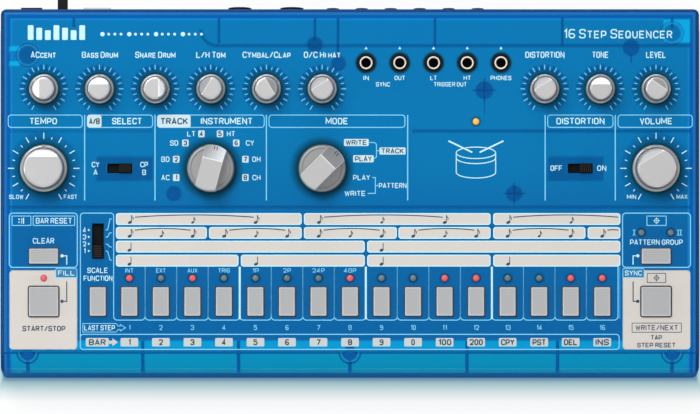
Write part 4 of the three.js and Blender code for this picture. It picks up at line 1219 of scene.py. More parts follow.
def build_seen():
    """What shows through the clear shell: posts with their rings, ribs, board edges and switch
    bodies, the bright places where light passes, and painted shade: round the knobs, selectors,
    lights and jacks, along the bevel's crease and as the shadows of the knobs' ticks."""
    tone = tones()
    dark, light, bright, gloom = Shade(), Shade(), Shade(), Shade()
    lower_half = (math.pi, 2 * math.pi, 24)
    boss_row = -70.55
    posts = [(-76.8, -1.4, 3.2), (71.7, -1.4, 3.4), (-140.6, 59.1, 3.7), (140.6, 68.7, 3.7),
             (-4.9, 55.4, 3.1), (58.7, 43.7, 3.7), (-15.25, 63.7, 3.3), (122.7, 62.3, 3.5)]
    for u, v, radius in posts:
        ringed = abs(u) > 140
        solid = 0.5 if ringed else 0.7
        dark.round(u, v, [(0.01, solid), (radius - 0.3, solid - 0.05), (radius, 0.35),
                          (radius + 0.5, 0)])
        light.round(u, v, [(4.0, 0), (4.35, 0.75 if ringed else 0.1), (4.8, 0)])
        if ringed:
            dark.round(u, v, [(4.75, 0), (5.0, 0.5), (5.4, 0)])
    for u, v, long in ((58.7, 43.7, 5.4), (71.7, -1.4, 4.9)):
        dark.soft_box(u - long, u + long, v - 0.5, v + 0.5, 0.3, 0.4)
        dark.rib(u, 0.5, v - long, v + long, 0.3, 0.4)
    dark.rib(58.7, 0.5, 33.0, 40.5, 0.3, 0.3)
    dark.rib(122.7, 0.5, 55.6, 59.5, 0.3, 0.5)
    for u in (-140.6, 0.0, 140.6):
        dark.round(u, boss_row, [(0.01, 0.95), (3.2, 0.95), (3.5, 0)], *lower_half)
        light.round(u, boss_row, [(3.6, 0), (3.9, 0.8), (4.2, 0)], *lower_half)
        dark.round(u, boss_row, [(4.25, 0), (4.5, 0.85), (4.9, 0.85), (5.1, 0)], *lower_half)
        dark.rib(u, 0.85, -79.35, -74.0, 0.25, 0.9, 0.05)
        dark.rib(u, 2.4, -70.5, -67.5, 0.8, 0.6)
    for u in (-90.4, -48.6, 51.1, 90.6):
        dark.rib(u, 0.85, -79.35, boss_row, 0.25, 0.85, 0.05)
        dark.rib(u, 0.85, -70.5, -65.4, 0.3, 0.75, 0.4)
    for u, low in ((-120.5, 71.0), (-57.2, 64.0), (-15.3, 65.0), (-5.2, 57.0), (37.1, 63.0),
                   (92.7, 63.0), (140.6, 70.5)):
        dark.rib(u, 0.75, low, 75.4, 0.35, 0.55)
    for v, u0, u1, strength in ((63.2, -58.5, 149.0, 0.4), (25.9, 27.0, 149.0, 0.4),
                                (25.9, -149.0, -86.0, 0.18), (-7.3, -149.0, 149.0, 0.35)):
        dark.soft_box(u0, u1, v - 1.0, v + 1.0, 0.6, strength)
    turn = np.linspace(math.pi, 1.5 * math.pi, 13)
    bend = [np.stack([-58.0 + (7.0 + wide) * np.cos(turn), 70.2 + (7.0 + wide) * np.sin(turn)], 1)
            for wide in (1.0, 0.4, -0.4, -1.0)]
    dark.patch(np.array(bend)[::-1], np.array([[0], [0.4], [0.4], [0]]))
    for u0, u1, slot in ((-111.2, -85.6, -LEVER_COLUMN), (85.8, 111.0, LEVER_COLUMN)):
        us = np.array([u0, u0 + 1.3, slot - 5.85, slot + 5.85, u1 - 1.0, u1])
        vs = np.array([3.6, 4.8, 7.4, 11.85, 14.0, 15.4])
        level = np.zeros((6, 6))
        level[1:5, 1:5] = 0.42
        dark.patch(np.stack(np.meshgrid(us, vs), 2), level, (2, 2))
    # Painted shade: a dark line along the bevel's crease.
    dark.soft_box(-151.2, 151.2, -71.35, -70.45, 0.2, 0.8)
    bright.soft_box(136.2, 149.0, 63.9, 75.2, 1.0, 1.0)
    for v in (61.9, 55.4):
        bright.soft_box(-149.4, -143.2, v - 2.0, v + 2.0, 1.4, 1.0)
    light.soft_box(116.95, 118.1, -56.0, -33.3, 0.12, 0.9)
    between = np.arange(-142.5, 143, 15)
    for u, _ in SMALL_KNOBS.values():
        # Painted shade round each small knob, and the painted shadows of its ticks on the boards
        # below: a faint dark ring and a dark spike between each two ticks.
        gloom.round(u, KNOB_ROW, [(3.6, 0.85), (6.7, 0.8), (7.6, 0.4), (9.0, 0)], sides=56)
        dark.round(u, KNOB_ROW, [(7.8, 0), (8.6, 0.18), (9.8, 0.14), (11.0, 0)], sides=56)
        dark.spikes(u, KNOB_ROW, between, 8.0, 10.6, 1.1, np.where(abs(between) < 90, 0.5, 0.3))
    # Painted shade round each big knob, and a faint dark ring, the painted shadow of its ticks.
    for u, _ in BIG_KNOBS.values():
        gloom.round(u, DIAL_ROW, [(3.6, 0.85), (10.6, 0.85), (11.8, 0.4), (13.6, 0)], sides=64)
        dark.round(u, DIAL_ROW, [(12.2, 0), (13.2, 0.2), (14.6, 0.2), (16.4, 0)], sides=64)
    # Painted shade round the selectors, the lights and the jacks.
    for u, *_ in SELECTORS.values():
        gloom.round(u, DIAL_ROW, [(3.6, 0.85), (10.7, 0.85), (12.2, 0.35), (14.4, 0)], sides=64)
    step, _, pattern, status = light_places()
    for u, v in (*step, *pattern, status):
        gloom.round(u, v, [(1.3, 0.35), (1.8, 0.3), (2.6, 0)], sides=28)
    for u in JACK_COLUMNS:
        gloom.round(u, JACK_ROW, [(3.9, 0.9), (4.3, 0.7), (5.1, 0)])
    for layer, (shade, name, key) in enumerate(((bright, "bright", "bright"),
                                                (dark, "dark", "inner"),
                                                (light, "light", "halo"),
                                                (gloom, "gloom", "gloom"))):
        shade.piece_of(name, tone[key], 0.004 * layer)


# Printing


class Printing:
    """The panel's printing, gathered by colour."""

    def __init__(self):
        self.rise = control_sizes()["print_rise"]
        names = "white line beige pale box ink navy gap nook"
        self.inks = {name: Shape() for name in names.split()}

    def levels(self, layer):
        """Lowest and highest level of a layer of ink: each lies a little over the last."""
        return -0.05, self.rise + 0.025 * layer

    def shape(self, ink, outline, layer=0):
        """A printed area."""
        slab(self.inks[ink], outline, *self.levels(layer))

    def field(self, ink, u0, u1, v0, v1, radius=0.6, layer=0):
        """A printed area in the shape of a rounded rectangle."""
        self.shape(ink, rounded(u0, u1, v0, v1, radius), layer)

    def outline(self, ink, u0, u1, v0, v1, radius=1.2, width=0.4, layer=0):
        """A line along a rounded rectangle, half of its width to either side."""
        half = width / 2
        outer = rounded(u0 - half, u1 + half, v0 - half, v1 + half, radius + half)
        inner = rounded(u0 + half, u1 - half, v0 + half, v1 - half, max(radius - half, 0.02))
        band(self.inks[ink], outer, inner, *self.levels(layer))

    def line(self, ink, path, width=0.4, layer=0):
        """A line along a path."""
        stroke(self.inks[ink], path, width, *self.levels(layer))

    def disc(self, ink, u, v, radius, layer=0, sides=24):
        """A printed dot."""
        self.shape(ink, circle(radius, sides) + (u, v), layer)

    def oval(self, ink, u, v, half_wide, half_high, width, layer=0, turn=(0.0, 360.0, 41)):
        """A line along an ellipse, over a range of angles in degrees from its right end."""
        turn = np.radians(np.linspace(*turn))
        path = [u + half_wide * np.cos(turn), v + half_high * np.sin(turn)]
        self.line(ink, np.stack(path, 1), width, layer)

    def words(self, ink, text, u, v, height, width=None, layer=0, weight=0.155):
        """Lettering centred at a place, as lines of one width: a share of the height. Without a
        width the grid's units are four fifths as wide as they are high."""
        paths, wide = lettered(text)
        line = height * weight
        up = (height - line) / 8
        across = (width - line) / wide if width and wide else up * 0.8
        for path in paths:
            placed_path = (path - (wide / 2, 4)) * (across, up) + (u, v)
            self.line(ink, placed_path, line, layer)

    def labels(self, ink, height, rows, layer=0, weight=0.155):
        """Lettering of one height, from rows of text, place and width."""
        for text, u, v, width in rows:
            self.words(ink, text, u, v, height, width, layer, weight)

    def scale_marks(self, ink, centre, main, between, width):
        """Tick marks round a knob at every 15 degrees from -150 to 150, from one radius to another:
        main ones at every 30 degrees, and narrower ones between them."""
        for index, turn in enumerate(np.radians(np.arange(-150, 151, 15))):
            way = np.array([math.sin(turn), math.cos(turn)])
            first, last = between if index % 2 else main
            self.line(ink, [way * first + centre, way * last + centre],
                      width * (0.85 if index % 2 else 1))


def note(panel, u, v, flag, size=1.0):
    """A small note: a slanted oval head, a stem and, if flag is set, one curved flag. Its foot
    stays where it is for any size."""
    turn = np.linspace(0, 2 * math.pi, 14, endpoint=False)
    oval = np.stack([np.cos(turn) * 0.9, np.sin(turn) * 0.62], 1) * size
    slant = math.radians(25)
    spin = np.array([[math.cos(slant), math.sin(slant)], [-math.sin(slant), math.cos(slant)]])
    foot = v - 1.5
    panel.shape("ink", oval @ spin + (u, foot), 4)

    def pen(path, width):
        panel.line("ink", np.array(path) * size + (u, foot), width, 4)

    pen([(0.7, 0.1), (0.7, 3.2)], 0.32)
    if flag:
        pen([(0.7, 3.2), (0.95, 2.4), (1.5, 1.9), (1.35, 1.1)], 0.32)


def slur(panel, u0, u1, v, rise):
    """A slur: a parabola between two places, rise high in its middle."""
    share = np.linspace(0, 1, 17)
    path = np.stack([u0 + (u1 - u0) * share, v + 4 * rise * share * (1 - share)], 1)
    panel.line("ink", path, 0.42, 4)


def print_headers(panel):
    """The headings in rounded outlines, and the dividing lines between them."""
    for u0, u1 in ((-149.1, -116.8), (-114.6, -86.1), (-84.0, -37.4), (-35.3, 24.0),
                   (86.3, 114.8), (117.0, 149.4)):
        panel.outline("line", u0, u1, 27.5, 32.9, 1.3)
    for u0, u1 in ((-114.6, -108.4), (-84.0, -69.5)):
        panel.field("pale", u0, u1, 27.4, 33.0, 1.0, 1)
    for u in (-115.75, -85.05, -36.45, 25.2, 85.2, 115.8):
        panel.line("line", [(u, 32.9), (u, -4.4)], 0.5)
    panel.labels("white", 2.85, (
        ("TEMPO", -133.8, 30.25, 12.0), ("SELECT", -97.3, 30.25, 13.0),
        ("INSTRUMENT", -53.8, 30.25, 22.6), ("MODE", -5.7, 30.25, 9.8),
        ("DISTORTION", 100.6, 30.25, 21.0), ("VOLUME", 133.6, 30.25, 14.2)), weight=0.17)
    panel.words("ink", "A/B", -111.5, 30.2, 2.7, 4.7, 2, 0.19)
    panel.words("ink", "TRACK", -76.7, 30.2, 2.85, 12.0, 2, 0.19)


def print_knobs(panel):
    """Ticks, names and end words of the knobs."""
    for u, _ in SMALL_KNOBS.values():
        panel.scale_marks("line", (u, KNOB_ROW), (8.5, 10.5), (8.4, 9.9), 0.36)
    for u, _ in BIG_KNOBS.values():
        panel.scale_marks("white", (u, DIAL_ROW), (12.9, 15.6), (13.0, 14.1), 0.42)
    panel.labels("white", 2.75, (
        ("ACcent", -133.8, 59.2, 11.0), ("Bass Drum", -109.1, 59.2, 15.8),
        ("Snare Drum", -84.9, 59.2, 17.6), ("L/H Tom", -60.7, 59.2, 12.8),
        ("CYmbal/Clap", -36.4, 59.2, 21.0), ("O/C Hi hat", -12.1, 59.2, 16.0),
        ("DISTORTION", 85.1, 59.2, 17.1), ("TONE", 109.3, 59.2, 7.2),
        ("LEVEL", 133.6, 59.2, 8.7)))
    panel.labels("white", 1.9, (("SLOW", -145.6, -2.8, 6.2), ("FAST", -121.9, -2.8, 5.9),
                                ("MIN", 122.9, -2.8, 4.0), ("MAX", 144.9, -2.8, 4.8)),
                 weight=0.15)


def print_selectors(panel):
    """Numbers and names round the instrument selector, and the brackets by the mode selector."""
    rows = [(-75.8, 5.6, -80.5, "AC"), (-75.8, 13.6, -80.5, "BD"), (-71.8, 20.7, -76.7, "SD"),
            (-64.8, 24.7, -69.2, "LT"), (-56.7, 24.7, -51.9, "HT"), (-49.6, 20.7, -43.6, "CY"),
            (-45.6, 13.6, -40.8, "OH"), (-45.6, 5.6, -40.8, "CH")]
    for number, (u, v, name_u, name) in enumerate(rows, 1):
        panel.field("pale", u - 1.4, u + 1.4, v - 1.5, v + 1.5, 0.5, 1)
        panel.words("ink", str(number), u, v, 2.2, None, 2, 0.2)
        panel.words("white", name, name_u, v, 2.35, 3.6)
    for text, u0, u1, v in (("WRITE", -2.6, 8.2, 20.9), ("PLAY", 1.4, 10.4, 13.8),
                            ("TRACK", 12.9, 24.3, 17.2)):
        panel.field("pale", u0, u1, v - 1.55, v + 1.55, 0.5, 1)
        panel.words("ink", text, (u0 + u1) / 2, v, 2.25, u1 - u0 - 1.6, 2, 0.18)
    panel.labels("white", 2.25, (("PLAY", 5.1, 5.6, 7.4), ("WRITE", 2.25, -1.3, 9.1),
                                 ("PATTERN", 18.65, 2.1, 12.1)), 2)
    panel.line("line", [(8.3, 20.9), (10.6, 20.9), (11.6, 20.1), (11.6, 14.6), (10.5, 13.8)])
    panel.line("line", [(11.6, 17.3), (12.9, 17.3)], layer=1)
    panel.line("line", [(9.7, 5.6), (11.1, 5.6), (11.1, -1.3), (7.8, -1.3)])
    panel.line("line", [(11.1, 2.1), (12.3, 2.1)], layer=1)
    panel.labels("white", 2.4, (("CY", -111.0, 11.3, 3.4), ("A", -111.0, 7.9, 1.8),
                                ("CP", -89.8, 11.3, 3.4), ("B", -89.8, 7.9, 1.7),
                                ("OFF", 90.1, 9.7, 5.2), ("ON", 109.9, 9.7, 4.0)),
                 weight=0.16)


def print_jacks(panel):
    """Names and arrow heads of the panel jacks."""
    for u, text, width in zip(JACK_COLUMNS, ("IN", "OUT", "LT", "HT", "PHONES"),
                              (2.4, 4.6, 2.8, 3.2, 9.1)):
        panel.words("white", text, u, 49.1, 1.95, width, weight=0.165)
        panel.shape("white", [(u - 0.65, 61.6), (u + 0.65, 61.6), (u, 62.8)])
    panel.words("white", "SYNC", 14.4, 46.3, 1.95, 6.1, weight=0.165)
    panel.words("white", "TRIGGER OUT", 43.8, 46.3, 1.95, 14.4)


def print_strips(panel):
    """The four rows of printed bars with notes, over the step buttons."""
    rows = [
        (-12.5, [(-102.1, -21.0), (-20.1, 61.4), (62.5, 118.0)]),
        (-18.55, [(-102.1, -62.4), (-61.5, -21.0), (-20.1, 20.5), (21.2, 61.4), (62.5, 102.8),
                  (103.7, 118.0)]),
        (-24.55, [(-102.1, 6.5), (7.5, 118.0)]),
        (-30.65, [(-102.1, -48.6), (-47.6, 6.5), (7.5, 61.4), (62.5, 118.0)]),
    ]
    for v, bars in rows:
        for u0, u1 in bars:
            panel.field("beige", u0, u1, v - 2.6, v + 2.6, 1.2, 2)
            panel.outline("white", u0 + 0.25, u1 - 0.25, v - 2.35, v + 2.35, 1.0, 0.5, 3)
    for start in (-96.0, -13.5, 69.1):
        for place in (0, 27.4, 54.9):
            if start + place < 116:
                note(panel, start + place, -12.5, True, 0.75 if place == 27.4 else 1.0)
        slur(panel, start + 2.2, min(start + 54.0, 117.0), -11.7, 1.0)
    for index in range(STEP_COUNT):
        u = -96.1 + 13.745 * index
        note(panel, u, -18.5, True, 0.75 if index % 3 == 1 else 1.0)
        if index % 3 == 0 and index < 15:
            slur(panel, u + 2.2, u + 26.6, -17.4, 0.8)
    slur(panel, 112.4, 117.2, -17.4, 0.25)
    for v, places in ((-24.6, (-96.2, 13.8)), (-30.7, (-96.2, -41.0, 13.8, 69.0))):
        for u in places:
            note(panel, u, v, False)


def print_steps(panel):
    """Outlines, numbers and marks of the step buttons, the row of bar numbers and the outline of
    the scale switch."""
    first = STEP_COLUMNS[0] - STEP_PITCH / 2
    keys = "1 2 3 4 5 6 7 8 9 0 100 200 CPY PST DEL INS".split()
    for number, (u, key) in enumerate(zip(STEP_COLUMNS, keys), 1):
        left, right = u - STEP_PITCH / 2, u + STEP_PITCH / 2
        corners = rounded(left, right, -56.6, -31.0, 1.6)[:14]
        panel.line("line", np.vstack([(left, -33.3), corners, (right, -33.3)]))
        panel.words("line", str(number), u, -59.85, 2.2, weight=0.15)
        panel.field("box", u - 3.84, u + 3.84, -68.1, -64.4, 0.5, 1)
        panel.words("ink", key, u, -66.25, 2.65, 5.9 if len(key) > 1 else None, 2, 0.2)
        if number in (5, 9, 13):
            panel.line("white", [(left, -33.3), (left, -56.2)], 0.85, 2)
    for u, text, width in zip(STEP_COLUMNS, "INT EXT AUX TRIG 1P 2P 24P 48P".split(),
                              (3.6, 4.2, 4.4, 5.1, 3.0, 3.4, 5.4, 5.4)):
        panel.words("line", text, u, -34.95, 1.95, width)
    panel.outline("line", -117.6, 117.45, -69.4, -62.8, 1.3, 0.42)
    corners = rounded(-117.6, first, -69.4, -9.9, 1.4)[14:]
    panel.line("line", np.vstack([(first, -33.3), corners, (-117.6, -64.2)]), 0.42, 1)
    panel.line("line", [(-110.0, -61.8), (-102.0, -61.8), (-101.1, -60.7), (-100.2, -60.7),
                        (-100.2, -61.4), (-97.9, -59.95), (-100.2, -58.5), (-100.2, -59.2),
                        (-101.1, -59.2), (-102.0, -58.1), (-116.5, -58.1), (-116.5, -61.8),
                        (-110.0, -61.8)], 0.32, 2)
    panel.words("white", "LAST STEP", -109.2, -59.95, 2.3, 13.4, 2)
    panel.field("box", -115.2, -105.2, -68.1, -64.4, 0.6, 2)
    panel.words("ink", "BAR", -110.2, -66.25, 2.65, 7.4, 3, 0.19)
    panel.shape("box", [(-105.4, -66.9), (-103.6, -66.9), (-103.6, -68.0), (-101.2, -66.25),
                        (-103.6, -64.5), (-103.6, -65.6), (-105.4, -65.6)], 2)


def repeat_sign(panel, ink, u, v, layer):
    """A repeat sign: two dots, a thin and a thick bar."""
    for up in (-0.65, 0.65):
        panel.disc(ink, u - 1.2, v + up, 0.32, layer, 12)
    panel.line(ink, [(u - 0.1, v - 1.25), (u - 0.1, v + 1.25)], 0.25, layer)
    panel.line(ink, [(u + 0.75, v - 1.25), (u + 0.75, v + 1.25)], 0.55, layer)


def coda_sign(panel, ink, u, v, layer):
    """A coda sign: a ring with a cross through it."""
    panel.oval(ink, u, v, 0.85, 1.0, 0.28, layer, (0, 360, 25))
    panel.line(ink, [(u - 1.45, v), (u + 1.45, v)], 0.24, layer)
    panel.line(ink, [(u, v - 1.5), (u, v + 1.5)], 0.24, layer)


def print_sides(panel):
    """The scale switch's marks and the fields at both ends of the panel."""
    for index in range(4):
        v = -17.3 - 3.03 * index
        panel.words("white", str(4 - index), -115.8, v, 2.2)
        panel.disc("white", -113.95, v, 0.42)
    for path in ([(-106.6, -17.3), (-105.7, -17.2), (-104.7, -12.5), (-103.9, -12.4)],
                 [(-106.6, -20.4), (-105.7, -20.3), (-104.9, -18.6), (-103.9, -18.5)],
                 [(-106.6, -23.4), (-105.7, -23.5), (-104.9, -24.6), (-103.9, -24.7)],
                 [(-106.6, -26.4), (-105.7, -26.6), (-104.7, -30.3), (-103.9, -30.5)]):
        panel.line("line", path, 0.38)
    panel.words("white", "SCALE", -110.1, -34.9, 2.35, 9.0)
    panel.words("white", "FUNCTION", -109.9, -38.35, 2.35, 12.6)
    for side in (-1, 1):
        inner, outer = side * 118.95, side * 148.6
        u0, u1 = min(inner, outer), max(inner, outer)
        panel.outline("line", u0, u1, -33.6, -9.9, 1.5, 0.45)
        middle = side * OUTER_COLUMN
        band(panel.inks["beige"], rounded(u0, u1, -69.5, -34.8, 1.6),
             about(middle, BUTTON_ROW, 13.5, 13.5, 0.9), *panel.levels(0))
        panel.outline("line", u0 + 0.1, u1 - 0.1, -69.4, -34.9, 1.5, 0.28)
        tag0, tag1 = min(side * 119.1, side * 128.3), max(side * 119.1, side * 128.3)
        panel.field("navy", tag0, tag1, -38.0, -34.1, 0.4, 1)
        panel.outline("line", tag0, tag1, -38.0, -34.1, 0.4, 0.3, 2)
        tag = "FILL" if side < 0 else "SYNC"
        panel.words("white", tag, (tag0 + tag1) / 2, -36.05, 2.2, 7.4, 2)
        panel.line("white", [(side * 125.5, -28.55), (side * 123.55, -28.55),
                             (side * 123.55, -32.4)], 0.45)
        panel.disc("white", side * 125.6, -28.55, 0.72, 1)
        panel.line("ink", [(side * 123.55, -39.7), (side * 123.55, -48.4),
                           (side * 125.4, -48.4)], 0.45, 2)
        panel.disc("ink", side * 125.6, -48.4, 0.72, 3)
    for u0, u1 in ((-147.4, -139.2), (-138.2, -120.1), (129.6, 138.0)):
        panel.outline("line", u0, u1, -15.3, -11.2, 0.15, 0.38)
    panel.words("white", "BAR RESET", -129.15, -13.25, 2.5, 15.8)
    repeat_sign(panel, "white", -143.2, -13.25, 0)
    coda_sign(panel, "white", 133.8, -13.25, 0)
    coda_sign(panel, "ink", 133.75, -38.2, 2)
    for u0, u1, v0, v1 in ((129.7, 137.8, -40.2, -36.2), (123.1, 144.6, -61.9, -57.9)):
        panel.outline("ink", u0, u1, v0, v1, 0.15, 0.3, 1)
    panel.words("ink", "WRITE/NEXT", 133.85, -59.9, 2.35, 18.6, 1, 0.16)
    panel.words("white", "CLEAR", -133.7, -22.0, 2.45, 9.4, 1, 0.15)
    panel.words("white", "PATTERN GROUP", 133.7, -22.6, 2.35, 23.0, 1, 0.15)
    panel.words("ink", "START/STOP", -133.5, -60.3, 2.4, 18.8, 1, 0.185)
    panel.labels("ink", 2.1, (("TAP", 133.7, -64.2, 5.0), ("STEP RESET", 133.7, -67.5, 16.8)),
                 1, 0.185)
    for u, stems in ((124.0, (0.0,)), (143.8, (-0.55, 0.55))):
        for stem in stems:
            panel.line("line", [(u + stem, -19.5), (u + stem, -17.3)], 0.4)
        reach = 0.65 + abs(stems[0])
        for v in (-19.5, -17.3):
            panel.line("line", [(u - reach, v), (u + reach, v)], 0.28, 1)


def print_gaps(panel):
    """A painted shade: a dark line printed round each button, where the opening round it lies in
    shadow.
    """
    for name, (u, v, width, depth) in button_places().items():
        on_field = name in ("start_stop_button", "write_next_button")
        line, away = (0.56, 0.29) if on_field else (0.66, 0.34)
        half_w, half_d = width / 2 + away, depth / 2 + away
        panel.outline("gap" if on_field else "nook", u - half_w, u + half_w, v - half_d,
                      v + half_d, 0.8, line, 1)


def print_titles(panel):
    """What stands in the places of the titles: bars, a row of beats, plain words and a drum."""
    for index in range(7):
        u = -140.6 + index * 3.75
        panel.field("white", u, u + 2.5, 65.7, 72.1 - 1.1 * (index % 3), 0.4)
    for index in range(16):
        u = -108.0 + index * 2.7 + 0.9 * (index // 4)
        panel.disc("white", u, 68.2, 0.95 if index % 4 == 0 else 0.6)
    panel.words("white", "16 Step Sequencer", 116.9, 68.4, 4.1, 47.6, 0, 0.125)
    middle, low, high = 55.0, 7.9, 16.4
    panel.oval("white", middle, high, 8.6, 2.5, 0.42)
    for v in (low, high - 2.2):
        panel.oval("white", middle, v, 8.6, 2.5, 0.42, 1, (180, 360, 25))
    for side in (-1, 1):
        edge = middle + side * 8.6
        panel.line("white", [(edge, low), (edge, high)], 0.42, 2)
        panel.line("white", [(middle + side * 12.0, 21.6), (middle + side * 1.6, 16.6)], 0.7,
                   3)


def build_printing():
    """The panel's printing, one thin piece for each ink."""
    tone = tones()
    panel = Printing()
    for part in (print_headers, print_knobs, print_selectors, print_jacks, print_strips,
                 print_steps, print_sides, print_gaps, print_titles):
        part(panel)
    tone["navy"] = tuple(part * 0.8 for part in tone["case"])
    for key, shape in panel.inks.items():
        ink = plastic("print_" + key, tone[key], roughness=0.5, grain=0.03, scale=2500.0,
                      spread=0.1, shade=0.03)
        made = shape.move(on_panel).piece("printing_" + key, ink, smooth=0)
        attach(made, "root")


# Case, boards and rear sockets


def finish_nodes(names, material):
    """Gives CAD nodes a finish, in each of their material slots."""
    for name in names:
        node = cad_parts[name]
        if not node.data.materials:
            node.data.materials.append(material)
        for index in range(len(node.data.materials)):
            node.data.materials[index] = material


def drawn_out(points):
    """Draws the case's upright corners out to a tighter radius. A point of a corner's arc goes to
    the tight arc's point with the same direction, and points nearer to the arc's centre move by
    less, in proportion to their distance. Points near the top follow its slopes."""
    s = case_sizes()
    wide, tight = s["corner"], s["tight"]
    x, y = points[:, 0], points[:, 1]
    middle = (s["rear_y"] - s["front_y"]) / 2
    half_depth = (s["rear_y"] + s["front_y"]) / 2
    across = np.abs(x) - (s["half_width"] - wide)
    along = np.abs(y - middle) - (half_depth - wide)
    inside = (across > -0.001) & (along > -0.001)
    far = np.maximum(np.hypot(across, along), 0.001)
    share = np.where(inside, (wide - tight) * far / wide, 0)
    moved = points.copy()
    moved[:, 0] += np.sign(x) * share * (1 - across / far)
    moved[:, 1] += np.sign(y - middle) * share * (1 - along / far)
    near_top = points[:, 2] > top_at(y) - 3.5
    moved[:, 2] += np.where(near_top, top_at(moved[:, 1]) - top_at(y), 0)
    return moved


def case_copy(node, name):
    """A copy of one of the case's covers, its loose triangles merged and its flat faces joined,
    its upright corners drawn out and its finish shaded smooth across the fine steps of its
    rounded edges."""
    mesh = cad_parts[node].data.copy()
    mesh.name = name
    working = bmesh.new()
    working.from_mesh(mesh)
    bmesh.ops.remove_doubles(working, verts=working.verts, dist=1e-6)
    bmesh.ops.dissolve_limit(working, angle_limit=math.radians(0.05), verts=working.verts,
                             edges=working.edges)
    working.to_mesh(mesh)
    working.free()
    points = np.empty(len(mesh.vertices) * 3)
    mesh.vertices.foreach_get("co", points)
    mesh.vertices.foreach_set("co", (drawn_out(points.reshape(-1, 3) / MM) * MM).reshape(-1))
    mesh.update()
    if mesh.has_custom_normals:
        mesh.attributes.remove(mesh.attributes["custom_normal"])
    mesh.materials.clear()
    mesh.materials.append(case_finish())
    mesh.shade_smooth()
    mesh.set_sharp_from_angle(angle=math.radians(35))
    made = weigh(new_object(name, mesh))
    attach(made, "root")
    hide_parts(node)


def build_cover():
    """The clear blue top cover."""
    case_copy("top_cover", "top_shell")


def build_tray():
    """The clear blue bottom cover, its seven screws and the feet."""
    case_copy("bottom_cover", "bottom_shell")
    rubber = plastic("foot_rubber", tones()["black"], roughness=0.85, grain=0.1, scale=900.0)
    turn = np.radians(np.linspace(0, 90, 5))
    rim = [(5.2 + 0.8 * math.sin(t), 0.8 - 0.8 * math.cos(t)) for t in turn]
    for node in ("foot_front_left", "foot_front_right", "foot_rear_left", "foot_rear_right"):
        low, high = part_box(node)
        centre = ((low.x + high.x) / 2 / MM, (low.y + high.y) / 2 / MM)
        shape = turned(Shape(), [(3.6, 0.5), (4.2, 0.0), *rim, (6.0, 2.7)], centre, 40)
        foot = weigh(shape.piece(node + "_pad", rubber, smooth=35))
        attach(foot, "root")
        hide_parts(node)
    steel = plastic("screw_steel", srgb(150, 150, 152), roughness=0.3, metallic=0.9, wear=0.3)
    screws = Shape()
    s = case_sizes()
    cos = math.cos(s["tilt"])
    places = [(u, -71.0 * cos - s["middle_y"]) for u in (-140.6, 0.0, 140.6)]
    places += [(u, -1.4 * cos - s["middle_y"]) for u in (-76.8, 71.7)]
    places += [(-140.6, 55.5), (140.6, 65.0)]
    head = [(1.6, 7.4), (2.6, 7.7), (2.9, 8.2), (2.9, 9.0), (1.5, 9.0)]
    for place in places:
        turned(screws, head, place, 28)
    made = screws.piece("case_screws", steel, smooth=35)
    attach(made, "root")


def build_insides():
    """Boards and ribbon cable."""
    green = plastic("board_green", tones()["board"], roughness=0.45, grain=0.05, scale=700.0,
                    shade=0.2)
    finish_nodes(["control_board", "rear_board"], green)
    finish_nodes(["ribbon_cable"], plastic("ribbon_grey", srgb(150, 152, 154), roughness=0.5))


def build_rear_sockets():
    """Sockets and the power lever of the rear wall."""
    black, plated = socket_finishes()
    finish_nodes(["power_inlet", "round_in_socket", "round_out_socket", "output_jack_row",
                  "power_switch_lever"], black)
    finish_nodes(["data_socket"], plated)


# Stage


def floor_finish():
    """The floor's finish: nearly white, with a painted blue reflection and shadow before the case's
    front, a colour ramp over the distance before it that fades to white past its sides and behind
    it. The camera sees most of it as its plain colour, and the rest keeps the object's shadow. The
    camera looks through the floor from below, and light from below passes it where the case stands."""
    s = case_sizes()
    material, wires, shader = new_material("floor_white", (0.8, 0.8, 0.8))
    place = wires.new("TexCoord").outputs["Object"]
    axes = wires.new("SeparateXYZ", {0: place}).outputs
    aside = wires.reckon("ABSOLUTE", axes["X"])
    front = -s["front_y"]
    past = wires.share(axes["Y"], front * MM, (front - 20) * MM)
    for value, first, last in ((aside, 152, 160), (axes["Y"], 70, 74)):
        past = wires.reckon("MAXIMUM", past, wires.share(value, first * MM, last * MM))
    stops = [(0.0, 110, 152, 178), (0.09, 166, 200, 210), (0.18, 192, 218, 223),
             (0.3, 224, 237, 238), (0.5, 253, 254, 254), (1.0, 255, 255, 255)]
    painted_reflection_and_shadow = wires.colours(past, [(at, srgb(*shown)) for at, *shown in stops])["Color"]
    wires.fill(shader, {"Base Color": painted_reflection_and_shadow, "Roughness": 0.3})
    camera_ray = wires.new("LightPath").outputs["Is Camera Ray"]
    glow = wires.new("Emission", {"Color": painted_reflection_and_shadow})
    plain = wires.new("MixShader", {0: wires.reckon("MULTIPLY", camera_ray, 0.78),
                                    1: shader.outputs[0], 2: glow.outputs[0]})
    backfacing = wires.new("NewGeometry").outputs["Backfacing"]
    under = wires.reckon("MULTIPLY", backfacing, camera_ray)
    above = wires.reckon("SUBTRACT", camera_ray, under)
    to_middle = wires.reckon("ABSOLUTE", wires.reckon("ADD", axes["Y"], s["middle_y"] * MM))
    covered = wires.reckon("MULTIPLY", wires.reckon("LESS_THAN", aside, 150 * MM),
                           wires.reckon("LESS_THAN", to_middle, 77 * MM))
    open_share = wires.reckon("MAXIMUM", under, wires.reckon("SUBTRACT", covered, above))
    clear = wires.new("BsdfTransparent")
    whole = wires.new("MixShader", {0: open_share, 1: plain.outputs[0], 2: clear.outputs[0]})
    wires.fill(wires.nodes["Material Output"], {"Surface": whole.outputs[0]})
    return material


def lay_floor():
    """A flat floor under the feet."""
    mesh = bpy.data.meshes.new("floor")
    reach = 3.0
    corners = [(-reach, -reach, 0), (reach, -reach, 0), (reach, reach, 0), (-reach, reach, 0)]
    mesh.from_pydata(corners, [], [(0, 1, 2, 3)])
    mesh.materials.append(floor_finish())
    new_object("floor", mesh)


